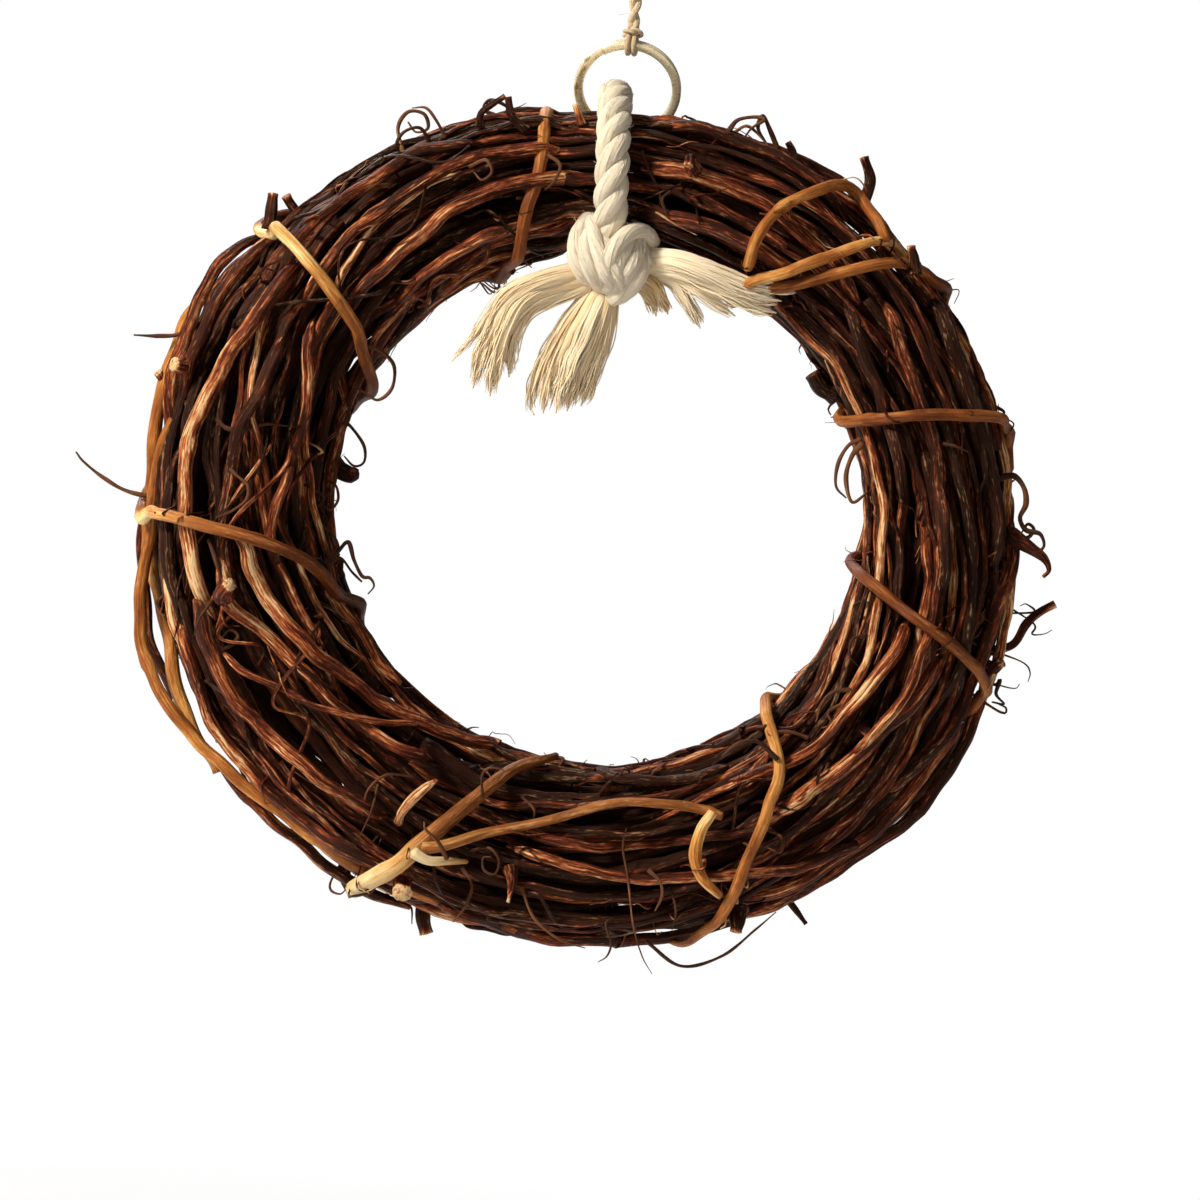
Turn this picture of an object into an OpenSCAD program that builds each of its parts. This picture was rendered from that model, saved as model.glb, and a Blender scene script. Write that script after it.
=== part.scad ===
// Bird swing: a wreath wound from vines, bound with thinner vines and tied with a
// cotton rope to a leaning metal ring, which hangs in a loop of jute twine.
// Lengths are in millimetres. The origin is the inside of the twine loop, at its top.
// X runs to the right, Y to the back and Z up. Seen from the front, angles round the
// wreath start at the right and run up and over to the left.

/* [Wreath] */
// Radius of the wreath sideways, to the middle of the bundle
wreath_rx = 89; // [75:1:120]
// Radius of the wreath up and down, to the middle of the bundle
wreath_rz = 86.5; // [75:0.5:120]
// How far the middle of the wreath lies to the right of the metal ring
wreath_shift = 1; // [-4:0.5:6]
// How much wider the bundle is where it is wound loosest, as a share
loose_share = 0.38; // [0:0.02:0.6]
// Angle round the wreath at which the bundle is loosest
loose_angle = 230; // [180:5:270]

/* [Vines] */
// Thickness of a wound vine
vine_d = 5.4; // [3:0.2:6.4]
// Gap between neighbouring turns, where the bundle is tightest
lane_gap = 0.65; // [0.5:0.05:1.5]
// Gap between the inner and the outer layer
layer_gap = 0.35; // [0.3:0.05:0.6]
// How far a vine of the outer layer waves outwards
wave = 0.9; // [0:0.1:2]
// How much thinner a wound vine is at its far end, as a share
taper_share = 0.22; // [0:0.02:0.4]
// Angle by which the outer vines sway to and fro round the bundle
sway = 16; // [0:2:24]
// Thickness of the two vines that bow out of the bundle
loose_d = 4.2; // [3:0.2:5]
// How far they bow out
loose_bow = 7; // [3:0.5:10]
// Thickness of the vines laid over the outer layer
laid_d = 3.8; // [2.6:0.2:4.6]

/* [Bindings] */
// Thickness of the thin vines that bind the bundle
binder_d = 3.4; // [2.4:0.2:4.4]
// Thickness of the pale forked twig at its cut end
twig_d = 5.6; // [4:0.2:7]
// Gap between the bundle and what is wound round it
wrap_gap = 0.35; // [0.3:0.05:0.8]

/* [Rope] */
// Thickness of the cotton rope
rope_d = 8; // [5:0.5:9]
// Where the rope lies, to the right of the metal ring's middle
rope_x = -4; // [-5:0.5:5]
// Width of the knot
knot_w = 21; // [16:1:26]
// Height of the knot
knot_h = 21; // [15:1:24]
// Length of the longest frayed tail
tail_len = 46; // [30:1:60]

/* [Metal ring] */
// Outer diameter of the metal ring
ring_d = 27.6; // [22:0.2:34]
// Thickness of its double wire
wire_d = 2.3; // [1.8:0.1:3]
// How far the ring leans, its top to the front
ring_lean = 32; // [10:1:40]

/* [Twine] */
// Thickness of the jute twine
twine_d = 3.2; // [2:0.1:4]
// Length of the hanging loop, inside
loop_len = 24; // [16:1:40]
// Width of the hanging loop, inside
loop_w = 12; // [8:1:20]
// Length of the twine between the loop's knot and the hitch
stem_len = 9; // [6:1:30]

/* [Hidden] */

// Colours
vine_brown = [0.36, 0.19, 0.11];
inner_brown = [0.22, 0.12, 0.08];
binder_tan = [0.66, 0.42, 0.22];
twig_tan = [0.78, 0.62, 0.38];
rope_cream = [0.93, 0.88, 0.76];
ring_brass = [0.83, 0.74, 0.5];
twine_beige = [0.76, 0.64, 0.47];

// Counts
outer_lanes = 15;
inner_lanes = 9;
turns = 3;
stations = 24;
vine_sides = 6;
knuckle_every = 5;
wrap_steps = 16;
cord_sides = 8;
rope_sides = 10;

// Clearances
run_gap = 0.35;
seat_gap = 0.3;

// The wound bundle
vine_r = vine_d / 2;
station_angle = 360 / stations;
outer_r = (vine_d + lane_gap) / (2 * sin(180 / outer_lanes));
inner_r = outer_r - vine_d - layer_gap;
twist = 360 / turns;

// The metal ring and the hitch
wire_r = wire_d / 2;
ring_mean_r = ring_d / 2 - wire_r;
strand_d = twine_d * 0.55;
hitch_r = wire_r + run_gap + strand_d / 2;
stem_bottom_rise = hitch_r + strand_d;
loop_knot_d = 3 * twine_d;
loop_knot_h = 2.8 * twine_d;
knot_top_z = -loop_len;
knot_bottom_z = knot_top_z - loop_knot_h;
stem_bottom_z = knot_bottom_z - stem_len;
hitch_z = stem_bottom_z - stem_bottom_rise;

// The bundle under the rope, which presses the vines together there, and the wreath's middle
top_angle = 90;
pressed_angle = 20;
top_r = bundle_r(top_angle);
seat_r = top_r + seat_gap + wire_r;
seat_angle = asin(2 * ring_mean_r * sin(ring_lean) / seat_r);
top_z = hitch_z - 2 * ring_mean_r * cos(ring_lean) - seat_r * cos(seat_angle);
wreath_z = top_z - wreath_rz;
ring_mid = [0, ring_mean_r * sin(ring_lean), hitch_z - ring_mean_r * cos(ring_lean)];

// The rope's loop round the bundle and over the wire
rope_r = rope_d / 2;
rope_ring_r = top_r + run_gap + rope_r;
wire_slope = asin(rope_x / ring_mean_r);
wire_reach = ring_mean_r * cos(wire_slope);
wire_low = ring_mid + wire_reach * [0, sin(ring_lean), -cos(ring_lean)] + [rope_x, 0, 0];
bight_r = run_gap + (wire_r + rope_r) / cos(wire_slope);
rope_mid = [rope_x, 0, mid(top_angle + asin((wreath_shift - rope_x) / wreath_rx))[2]];
bight_angle = atan2(rope_mid[1] - wire_low[1], wire_low[2] - rope_mid[2]);
bight_half_angle = acos((rope_ring_r - bight_r) / norm(wire_low - rope_mid));
knot_angle = 150;
knot_depth = 0.72 * knot_w;
knot_mid_r = top_r + run_gap + knot_depth / 2;
knot_reach_angle = 17;

// Shape of the wreath

function turned(th) = th - 360 * round((th - top_angle) / 360);
function freed(th) = min(1, pow((turned(th) - top_angle) / pressed_angle, 2));
function swell(th) = freed(th) * (1 - cos(th - loose_angle + 180)) / 2;
function spread(th) = 1 + loose_share * swell(th);
function free_wave(th) = wave * freed(th);
function bundle_r(th) = outer_r * spread(th) + vine_r + free_wave(th);

// Middle of the bundle at an angle that is a station
function station_mid(th) =
    [wreath_shift + wreath_rx * cos(th), 0, wreath_z + wreath_rz * sin(th)];

// Middle of the bundle anywhere: the vines run straight from station to station
function mid(th) =
    let (before = floor(th / station_angle) * station_angle, part = (th - before) / station_angle)
    (1 - part) * station_mid(before) + part * station_mid(before + station_angle);

function outward(th) = [cos(th), 0, sin(th)];

// Direction in the bundle's cross-section: 0 outwards, 90 front, 180 inwards, 270 back
function across(th, psi) = cos(psi) * outward(th) + [0, -sin(psi), 0];

function on_bundle(th, psi, radius) = mid(th) + radius * across(th, psi);

// Angle round the wreath at which each vine of the outer layer starts
outer_start_angles = [15, 135, 240, 60, 300];

// The outer layer: direction of a lane in the cross-section, its vine, how far along that
// vine it is, how far it waves out and where its surface is
lane_angle = 360 / outer_lanes;
outer_vines = outer_lanes / turns;

sway_angle = 30;
wave_angle = 75;

function lane_psi(th, lane) =
    th * twist / 360 + sway * sin(2 * th + sway_angle) + lane * lane_angle;
function nearest_lane(th, psi) = round((psi - lane_psi(th, 0)) / lane_angle);
function wrapped(a, b) = a - b * floor(a / b);
function lane_vine(lane) = wrapped(lane, outer_vines);
function lane_share(th, lane) =
    wrapped(th + 360 * floor(lane / outer_vines) - outer_start_angles[lane_vine(lane)], 360 * turns)
    / (360 * turns);
function outer_wave(th, lane) =
    free_wave(th) * (1 + sin(2 * th + wave_angle * lane_vine(lane))) / 2;
function outer_top_r(th, lane) =
    outer_r * spread(th) + outer_wave(th, lane) + vine_r * (1 - taper_share * lane_share(th, lane));

// Surface of the outer layer near a direction: the highest of the three lanes there
function near_top_r(th, psi) =
    let (lane = nearest_lane(th, psi))
    max([for (k = [-1:1]) outer_top_r(th, lane + k)]);

// How far out a thinner vine lies when it rests on the lanes near a direction. Each lane that
// it can touch holds it at the sum of both radii and the gap.
function rest_r(th, psi, r) =
    let (lane = nearest_lane(th, psi))
    max([
        for (k = [-2:2])
            let (
                lane_r = outer_r * spread(th) + outer_wave(th, lane + k),
                reach = outer_top_r(th, lane + k) - lane_r + r + seat_gap,
                apart = lane_psi(th, lane + k) - psi,
                free = reach * reach - pow(lane_r * sin(apart), 2)
            )
            free > 0 ? lane_r * cos(apart) + sqrt(free) : 0
    ]);

// A solid skin over rings of points, all with the same number of points
module skin(rings) {
    n = len(rings[0]);
    last = len(rings) - 1;
    sides = [
        for (i = [0:last - 1], k = [0:n - 1])
            let (
                a = i * n + k,
                b = i * n + (k + 1) % n,
                c = (i + 1) * n + (k + 1) % n,
                d = (i + 1) * n + k
            )
            each [[a, d, c], [a, c, b]]
    ];
    start_cap = [for (k = [1:n - 2]) [0, k, k + 1]];
    end_cap = [for (k = [1:n - 2]) [last * n, last * n + k + 1, last * n + k]];
    polyhedron(points = [for (ring = rings) each ring], faces = concat(sides, start_cap, end_cap));
}

function unit(v) = v / norm(v);

function heading(path, i) =
    unit(path[min(i + 1, len(path) - 1)] - path[max(i - 1, 0)]);

// Side directions that follow a path without twisting
function carried(path, i, side) =
    i == len(path)
        ? []
        : let (t = heading(path, i), s = unit(side - (side * t) * t))
          concat([s], carried(path, i + 1, s));

// Rings of a tube along a path: wide and thick are half sizes at each point
function tube_rings(path, wide, thick, sides, side = [0, 1, 0]) =
    let (frame = carried(path, 0, side))
    [
        for (i = [0:len(path) - 1])
            let (t = heading(path, i), s = frame[i], u = cross(t, s))
            [
                for (k = [0:sides - 1])
                    let (a = 360 * (k + 0.5) / sides)
                    path[i] + wide[i] * cos(a) * s + thick[i] * sin(a) * u
            ]
    ];

module tube(path, r, sides, side = [0, 1, 0]) {
    radii = is_list(r) ? r : [for (p = path) r];
    skin(tube_rings(path, radii, radii, sides, side));
}

// A smooth curve through points, with some steps between each two
function curve_point(p, i, u) =
    let (
        a = p[max(i - 1, 0)],
        b = p[i],
        c = p[i + 1],
        d = p[min(i + 2, len(p) - 1)]
    )
    0.5 * (2 * b + (c - a) * u + (2 * a - 5 * b + 4 * c - d) * u * u
        + (3 * b - a - 3 * c + d) * u * u * u);

function curve(p, steps) =
    concat([for (i = [0:len(p) - 2], k = [0:steps - 1]) curve_point(p, i, k / steps)], [p[len(p) - 1]]);

// Value between the entries of a list
function between(list, x) =
    let (i = min(max(floor(x), 0), len(list) - 2))
    list[i] + (list[i + 1] - list[i]) * (x - i);

// Vines

cut_end_share = 0.75;
knuckle_share = 0.06;

function cut_taper(i, last) = i == 0 || i == last ? cut_end_share : 1;
function vine_taper(i, last) = cut_taper(i, last) * (1 - taper_share * i / last);

// The knuckles of a vine, which never lie beside those of its neighbours
function knuckle(th, index) =
    wrapped(round(th / station_angle) + 2 * index, knuckle_every) == 0 ? 1 + knuckle_share : 1;

// Middle of a vine of the outer layer, and of the inner one, after an angle round the wreath
function outer_point(index, th) =
    on_bundle(th, lane_psi(th, index), outer_r * spread(th) + outer_wave(th, index));

function inner_point(index, th) =
    on_bundle(th, index * 360 / inner_lanes - th * twist / 360, inner_r * spread(th));

// A ring of points round a vine, in the bundle's cross-section
function vine_ring(p, th, r) =
    [
        for (k = [0:vine_sides - 1])
            let (a = 360 * k / vine_sides)
            p + r * (cos(a) * outward(th) + [0, sin(a), 0])
    ];

inner_start_angles = [90, 210, 330];
vine_steps = turns * stations - 1;

module outer_vine(index) {
    start = outer_start_angles[index];
    color(vine_brown)
    skin([
        for (i = [0:vine_steps])
            let (th = start + i * station_angle)
            vine_ring(outer_point(index, th), th, vine_r * vine_taper(i, vine_steps) * knuckle(th, index))
    ]);
}

module inner_vine(index) {
    start = inner_start_angles[index];
    color(inner_brown)
    skin([
        for (i = [0:vine_steps])
            let (th = start + i * station_angle)
            vine_ring(inner_point(index, th), th, vine_r * cut_taper(i, vine_steps))
    ]);
}

// Vines that bow out of the bundle on the left, between the bindings
bow_from_angle = 127;
bow_angle = 105;
bow_steps = 14;
bow_angles = [-26, 2];
bow_rise_share = [1, 0.62];
bow_taper_share = 0.3;

module bowed_vine(index) {
    lane = nearest_lane(bow_from_angle, bow_angles[index]);
    color(vine_brown)
    skin([
        for (i = [0:bow_steps])
            let (
                th = bow_from_angle + i * bow_angle / bow_steps,
                rise = loose_bow * bow_rise_share[index] * pow(sin(180 * i / bow_steps), 2),
                r = loose_d / 2 * (1 - bow_taper_share * abs(2 * i / bow_steps - 1))
            )
            vine_ring(
                on_bundle(th, lane_psi(th, lane), outer_top_r(th, lane) + seat_gap + r + rise), th, r
            )
    ]);
}

// Vines laid over the outer layer, which run from binding to binding. Each row holds the
// angle round the wreath and the direction in the cross-section, at one end and the other.
laid_step_angle = 7.5;
laid_bend_angle = 4;
laid_thin_share = 0.3;
laid_left_angles = [
    [152, 64, 183, 57], [154, 82, 188, 79], [157, 98, 190, 111],
    [197, 92, 249, 150], [199, 74, 247, 120]
];
laid_right_angles = [
    [22.5, 46, 38, 41], [25, 88, 41, 76], [26.5, 113, 43, 99],
    [-14, 41, 11, 46], [-9, 84, 15, 88], [-7, 112, 17, 115],
    [-54, 85, -22, 70], [-52, 111, -19, 98], [-50, 44, -27, 34]
];
laid_top_angles = [
    [60, 80, 86, 77], [61, 106, 86, 112], [61, 38, 86, 46],
    [113.5, 86, 145, 103], [116.5, 119, 147, 132], [112, 62, 142, 76], [113, 36, 141, 46]
];
laid_bottom_angles = [[264, 84, 286, 66], [253, 38, 287, 15], [270, 95, 288, 91], [272, 150, 300, 140]];
laid_back_angles = [
    [102, 262, 123, 255], [135, 268, 165, 262], [136, 296, 164, 302],
    [177, 255, 228, 284], [178, 288, 226, 318], [234, 262, 278, 240], [236, 292, 280, 274],
    [286, 250, 314, 262], [285, 284, 315, 292], [330, 262, 356, 250],
    [9, 292, 27, 300], [39, 258, 80, 268], [40, 288, 78, 298]
];

// One laid vine. It lies at the highest rest that it has near each of its points.
module laid_vine(row, r, bend) {
    last = round((row[2] - row[0]) / laid_step_angle);
    half = 0.5 / last;
    function way(u) =
        [row[0] + (row[2] - row[0]) * u, row[1] + (row[3] - row[1]) * u + bend * sin(180 * u)];
    function rise(u) = rest_r(way(u)[0], way(u)[1], r);
    path = [
        for (i = [0:last])
            let (u = i / last, p = way(u))
            on_bundle(p[0], p[1], max(rise(max(u - half, 0)), rise(u), rise(min(u + half, 1))))
    ];
    tube(path, [for (i = [0:last]) r * cut_taper(i, last)], vine_sides);
}

module laid_vines(rows) {
    color(vine_brown)
    for (k = [0:len(rows) - 1])
        laid_vine(
            rows[k],
            laid_d / 2 * (1 - laid_thin_share * wrapped(k, 3) / 2),
            laid_bend_angle * (1 - 2 * wrapped(k, 2))
        );
}

// Bindings: wraps round the bundle. Each table holds the angles round the wreath at which
// the wraps cross the front.
binder_r = binder_d / 2;
right_angles = [-95, -61, -15, 20, 46, 67];
top_angles = [25, 56, 85];
left_angles = [75, 109, 149, 192, 231];
right_turns = [0.8, 4.2];
top_turns = [0.8, 1.2];
left_turns = [0.8, 3.2];

// Room that a binding leaves for the bowed vines
facing_share = 1.5;

function bow_room(th, psi) =
    let (
        along = (th - bow_from_angle) / bow_angle,
        over = along > 0 && along < 1,
        facing = max(0, min(1, facing_share * cos(psi)))
    )
    over ? facing * (loose_d + run_gap + loose_bow * pow(sin(180 * along), 2)) : 0;

function wrap_point(angles, w) =
    let (th = between(angles, w), psi = 90 + 360 * w)
    on_bundle(
        th, psi, (near_top_r(th, psi) + wrap_gap + binder_r + bow_room(th, psi)) / cos(180 / wrap_steps)
    );

function wrap_path(angles, wraps) =
    [
        for (i = [0:round((wraps[1] - wraps[0]) * wrap_steps)])
            wrap_point(angles, wraps[0] + i / wrap_steps)
    ];

module binder(angles, wraps) {
    path = wrap_path(angles, wraps);
    last = len(path) - 1;
    color(binder_tan)
    tube(path, [for (i = [0:last]) binder_r * cut_taper(i, last)], vine_sides);
}

// The rope: up the front of the bundle, over the wire, down the back and under to the knot
function rope_dir(phi) = [0, -sin(phi), cos(phi)];
rope_arc_step = 12;
bight_steps = 5;
front_from = knot_angle - knot_reach_angle;
front_to = bight_angle + bight_half_angle;
back_from = bight_angle - bight_half_angle;
back_to = knot_angle - 360 + knot_reach_angle;

function arc_points(centre, r, from, to, n) =
    [for (i = [0:n]) centre + r * rope_dir(from + (to - from) * i / n)];

rope_path = concat(
    arc_points(rope_mid, rope_ring_r, front_from, front_to, round((front_from - front_to) / rope_arc_step)),
    arc_points(wire_low, bight_r, front_to, back_from, bight_steps),
    arc_points(rope_mid, rope_ring_r, back_from, back_to, round((back_from - back_to) / rope_arc_step))
);

module rope_loop() {
    color(rope_cream) tube(rope_path, rope_r, rope_sides, [1, 0, 0]);
}

// The knot: a rounded lump with three crossing strands
knot_mid = rope_mid + knot_mid_r * rope_dir(knot_angle);
knot_rows = 9;
knot_columns = 16;
knot_pole_angle = 80;
knot_strands = 3;
strand_share = 0.1;

module rope_knot() {
    across_dir = [1, 0, 0];
    deep_dir = rope_dir(knot_angle);
    tall_dir = cross(across_dir, deep_dir);
    color(rope_cream)
    skin([
        for (i = [0:knot_rows])
            let (lat = knot_pole_angle * (2 * i / knot_rows - 1))
            [
                for (k = [0:knot_columns - 1])
                    let (
                        lon = 360 * k / knot_columns,
                        swelling = 1 - strand_share + strand_share * cos(knot_strands * lat + 2 * lon),
                        x = knot_w / 2 * cos(lat) * cos(lon),
                        y = knot_depth / 2 * cos(lat) * sin(lon),
                        z = knot_h / 2 * sin(lat)
                    )
                    knot_mid + swelling * (x * across_dir + y * deep_dir + z * tall_dir)
            ]
    ]);
}

// Frayed tails, as right, back and up: where each leaves the knot, as shares of the knot's
// width, and its way from there, as shares of the longest tail
left_root_share = [-0.35, -0.04, 0.04];
middle_root_share = [-0.18, 0, -0.28];
right_root_share = [0.35, -0.04, 0.07];
short_root_share = [0.28, -0.04, -0.22];
left_shares = [[0, 0, 0], [-0.22, -0.09, -0.07], [-0.47, -0.11, -0.26], [-0.64, -0.06, -0.64]];
middle_shares = [[0, 0, 0], [-0.12, -0.02, -0.23], [-0.22, 0, -0.45], [-0.28, 0.02, -0.67]];
right_shares = [[0, 0, 0], [0.24, -0.12, 0.02], [0.52, -0.15, -0.07], [0.79, -0.13, -0.17]];
short_shares = [[0, 0, 0], [0.11, -0.02, -0.07], [0.21, -0.02, -0.12]];
tail_r_share = 0.8;
fan_share = 0.35;
flat_share = 0.5;
tail_steps = 3;

module rope_tail(root_share, shares) {
    root = knot_mid + knot_w * root_share;
    path = curve([for (p = shares) root + tail_len * p], tail_steps);
    last = len(path) - 1;
    tail_r = rope_r * tail_r_share;
    wide = [for (i = [0:last]) tail_r * (1 + fan_share * sin(90 * i / last))];
    thick = [for (i = [0:last]) tail_r * (1 - flat_share * i / last)];
    color(rope_cream) skin(tube_rings(path, thick, wide, rope_sides));
}

// Metal ring: a double wire with the slit of a split ring
slit_w = wire_d * 0.1;
slit_depth = wire_d * 0.3;
end_gap_angle = 150;
ring_sides = 96;
wire_sides = 32;

module metal_ring() {
    color(ring_brass)
    translate(ring_mid)
    rotate([90 + ring_lean, 0, 0])
    difference() {
        rotate_extrude($fn = ring_sides)
            translate([ring_mean_r, 0]) circle(d = wire_d, $fn = wire_sides);
        rotate_extrude($fn = ring_sides)
            translate([ring_mean_r + wire_r - slit_depth, -slit_w / 2]) square([wire_d, slit_w]);
        rotate_extrude($fn = ring_sides)
            translate([ring_mean_r - wire_r - wire_d + slit_depth, -slit_w / 2]) square([wire_d, slit_w]);
        for (side = [0, 1])
            rotate([0, 0, end_gap_angle * (1 - 2 * side)])
            mirror([0, 0, side])
            translate([ring_mean_r - wire_d, -slit_w, slit_w / 2])
            cube([2 * wire_d, 2 * slit_w, wire_d]);
    }
}

// Jute twine: a hitch round the wire, a stem, a loop knot and the hanging loop
hitch_lump_d = 1.5 * twine_d;
strand_sides = 24;
turned_sides = 48;
lump_steps = 8;
lump_end_share = 0.36;
side_by_side = 0.48;

module twine_hitch() {
    color(twine_beige)
    union() {
        for (side = [-1, 1])
            translate([side * strand_d * side_by_side, 0, hitch_z])
            rotate([0, 90, 0])
            rotate_extrude($fn = turned_sides)
            translate([hitch_r, 0]) circle(d = strand_d, $fn = strand_sides);
        translate([0, 0, hitch_z + hitch_r - strand_d / 4])
        lump(hitch_lump_d, stem_bottom_rise - hitch_r + strand_d / 4);
    }
}

// A turned lump with flat ends, fullest at half its height
module lump(d, h) {
    end_r = d * lump_end_share;
    rotate_extrude($fn = turned_sides)
    polygon(concat(
        [[0, 0]],
        [
            for (i = [0:lump_steps])
                [end_r + (d / 2 - end_r) * sin(180 * i / lump_steps), h * i / lump_steps]
        ],
        [[0, h]]
    ));
}

module twine_stem() {
    color(twine_beige)
    translate([0, 0, stem_bottom_z]) cylinder(d = twine_d, h = stem_len, $fn = wire_sides);
}

module twine_loop_knot() {
    color(twine_beige)
    translate([0, 0, knot_bottom_z]) lump(loop_knot_d, loop_knot_h);
}

leg_share = 0.53;
leg_x = twine_d * leg_share;
loop_half_w = (loop_w + twine_d) / 2;
loop_rise = loop_len + twine_d / 2;
loop_steps = 3;
loop_side_shares = [[0, 0.13], [0.32, 0.27], [0.8, 0.47], [1, 0.67], [0.82, 0.87], [0.4, 0.975]];

function loop_side(sign) =
    [
        for (p = loop_side_shares)
            [sign * (leg_x + (loop_half_w - leg_x) * p[0]), 0, knot_top_z + loop_rise * p[1]]
    ];

loop_route = concat(
    loop_side(-1),
    [[0, 0, knot_top_z + loop_rise]],
    [for (i = [len(loop_side_shares) - 1:-1:0]) loop_side(1)[i]]
);

module twine_loop() {
    path = concat([[-leg_x, 0, knot_top_z]], curve(loop_route, loop_steps), [[leg_x, 0, knot_top_z]]);
    color(twine_beige) tube(path, twine_d / 2, cord_sides);
}

// Canes laid on the bundle. Each route is a list of angles: round the wreath, and the
// direction in the bundle's cross-section.
twig_angles = [[244, 4], [247, 50], [250, 76], [255, 108], [262, 146], [266, 168]];
branch_angles = [[250, 76], [256, 86], [263, 104], [277, 124], [288, 121], [292, 115]];
prong_angles = [[250, 76], [253, 73], [256, 70]];
shoot_angles = [[296, 98], [293, 91], [291.5, 77], [291.5, 62]];
twig_end_share = 0.55;
branch_d = 3.6;
branch_end_share = 0.6;
prong_end_share = 0.5;
laid_steps = 2;

// A tapering cane laid along such a route
module laid_cane(route, r, end_share) {
    route_curve = curve(route, laid_steps);
    last = len(route_curve) - 1;
    radii = [for (i = [0:last]) r * (1 - (1 - end_share) * i / last)];
    path = [
        for (i = [0:last])
            let (p = route_curve[i])
            on_bundle(p[0], p[1], near_top_r(p[0], p[1]) + seat_gap + radii[i])
    ];
    tube(path, radii, vine_sides);
}

module forked_twig() {
    color(twig_tan)
    union() {
        laid_cane(twig_angles, twig_d / 2, twig_end_share);
        laid_cane(branch_angles, branch_d / 2, branch_end_share);
        laid_cane(prong_angles, branch_d / 2, prong_end_share);
    }
}

module front_shoot() {
    color(binder_tan) laid_cane(shoot_angles, binder_r, branch_end_share);
}

// Cut stubs of side shoots, which stand on the outer vines
stub_d = vine_d * 0.62;
stub_len = vine_d * 1.7;
stub_steps = 3;
stub_taper_share = 0.36;
stub_lean_angle = 3.2;
stub_angles = [[50, -20], [117, 15], [73, 8], [214, 132], [238, -25], [309, 0], [35, 170], [230, 89]];

module cut_stubs() {
    color(binder_tan)
    for (p = stub_angles) {
        lane = nearest_lane(p[0], p[1]);
        psi = lane_psi(p[0], lane);
        foot = outer_top_r(p[0], lane) + seat_gap;
        path = [
            for (i = [0:stub_steps])
                let (along = i / stub_steps)
                on_bundle(p[0] + stub_lean_angle * along * along, psi, foot + stub_len * along)
        ];
        radii = [for (i = [0:stub_steps]) stub_d / 2 * (1 - stub_taper_share * i / stub_steps)];
        tube(path, radii, vine_sides);
    }
}

// Curling tendrils. Each row of a table holds the angle round the wreath, the direction in
// the cross-section, the length as a multiple of a vine's thickness, the angle that it
// curls through, and the side that it leans to.
tendril_d = 1.5;
tendril_steps = 14;
tendril_sides = 5;
curl_power = 1.5;
curl_rise_share = 0.12;
tendril_end_share = 0.5;

module tendril(row) {
    th = row[0];
    reach = row[2] * vine_d;
    curl_angle = row[3];
    lean = row[4];
    lane = nearest_lane(th, row[1]);
    psi = lane_psi(th, lane);
    foot = on_bundle(th, psi, outer_top_r(th, lane) + seat_gap);
    up = across(th, psi);
    along = [-sin(th), 0, cos(th)];
    function step_dir(i) =
        let (a = curl_angle * pow(i / tendril_steps, curl_power))
        cos(a) * up + sin(a) * lean * along + curl_rise_share * sin(2 * a) * [0, 1, 0];
    function grown(i, p) =
        i > tendril_steps
            ? []
            : concat([p], grown(i + 1, p + reach / tendril_steps * step_dir(i)));
    path = grown(0, foot);
    radii = [
        for (i = [0:tendril_steps])
            tendril_d / 2 * (1 - (1 - tendril_end_share) * i / tendril_steps)
    ];
    tube(path, radii, tendril_sides, cross(up, along));
}

module tendrils(rows) {
    color(inner_brown) for (row = rows) tendril(row);
}

top_row_shares = [[80, 10, 3.4, 250, 1], [106, 0, 3.4, 230, 1], [121, -20, 4, 320, -1]];
left_row_shares = [[170, -12, 4.4, 70, -1], [155, 46, 3, 60, 1], [200, 130, 4, 400, 1]];
right_row_shares = [[5, -10, 4.2, 240, -1], [350, 0, 3.4, 90, 1], [323, 10, 2.6, 160, -1]];
inner_row_shares = [
    [170, 180, 4.4, 330, 1], [185, 180, 5, 420, -1], [5, 180, 3, 300, 1], [320, 180, 3.4, 320, 1]
];
bottom_row_shares = [[286, 0, 3.8, 150, 1], [258, -20, 3, 330, 1], [275, 62, 3.6, 460, 1]];

// The least gap between far stretches of a wound tube, measured on its points. Points
// nearer to each other along the tube than the third number are one stretch.
function least_gap(path, radii, apart) =
    min([
        for (i = [0:len(path) - 1 - apart], j = [i + apart:len(path) - 1])
            norm(path[i] - path[j]) - radii[i] - radii[j]
    ]);

function wound_gap(points, r) = least_gap(points, [for (p = points) r], stations / 2);
function vine_angles(start) = [for (i = [0:vine_steps]) start + i * station_angle];

for (k = [0:len(outer_start_angles) - 1])
    echo(
        outer_vine = k + 1,
        least_gap_mm = wound_gap(
            [for (th = vine_angles(outer_start_angles[k])) outer_point(k, th)],
            vine_r * (1 + knuckle_share)
        )
    );
for (k = [0:len(inner_start_angles) - 1])
    echo(
        inner_vine = k + 1,
        least_gap_mm = wound_gap([for (th = vine_angles(inner_start_angles[k])) inner_point(k, th)], vine_r)
    );
binder_gap_steps = wrap_steps / 2;
for (wrap = [[right_angles, right_turns], [left_angles, left_turns]])
    echo(
        binding_to_angle = wrap[0][len(wrap[0]) - 1],
        least_gap_mm = let (path = wrap_path(wrap[0], wrap[1]))
            least_gap(path, [for (p = path) binder_r], binder_gap_steps)
    );

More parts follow.
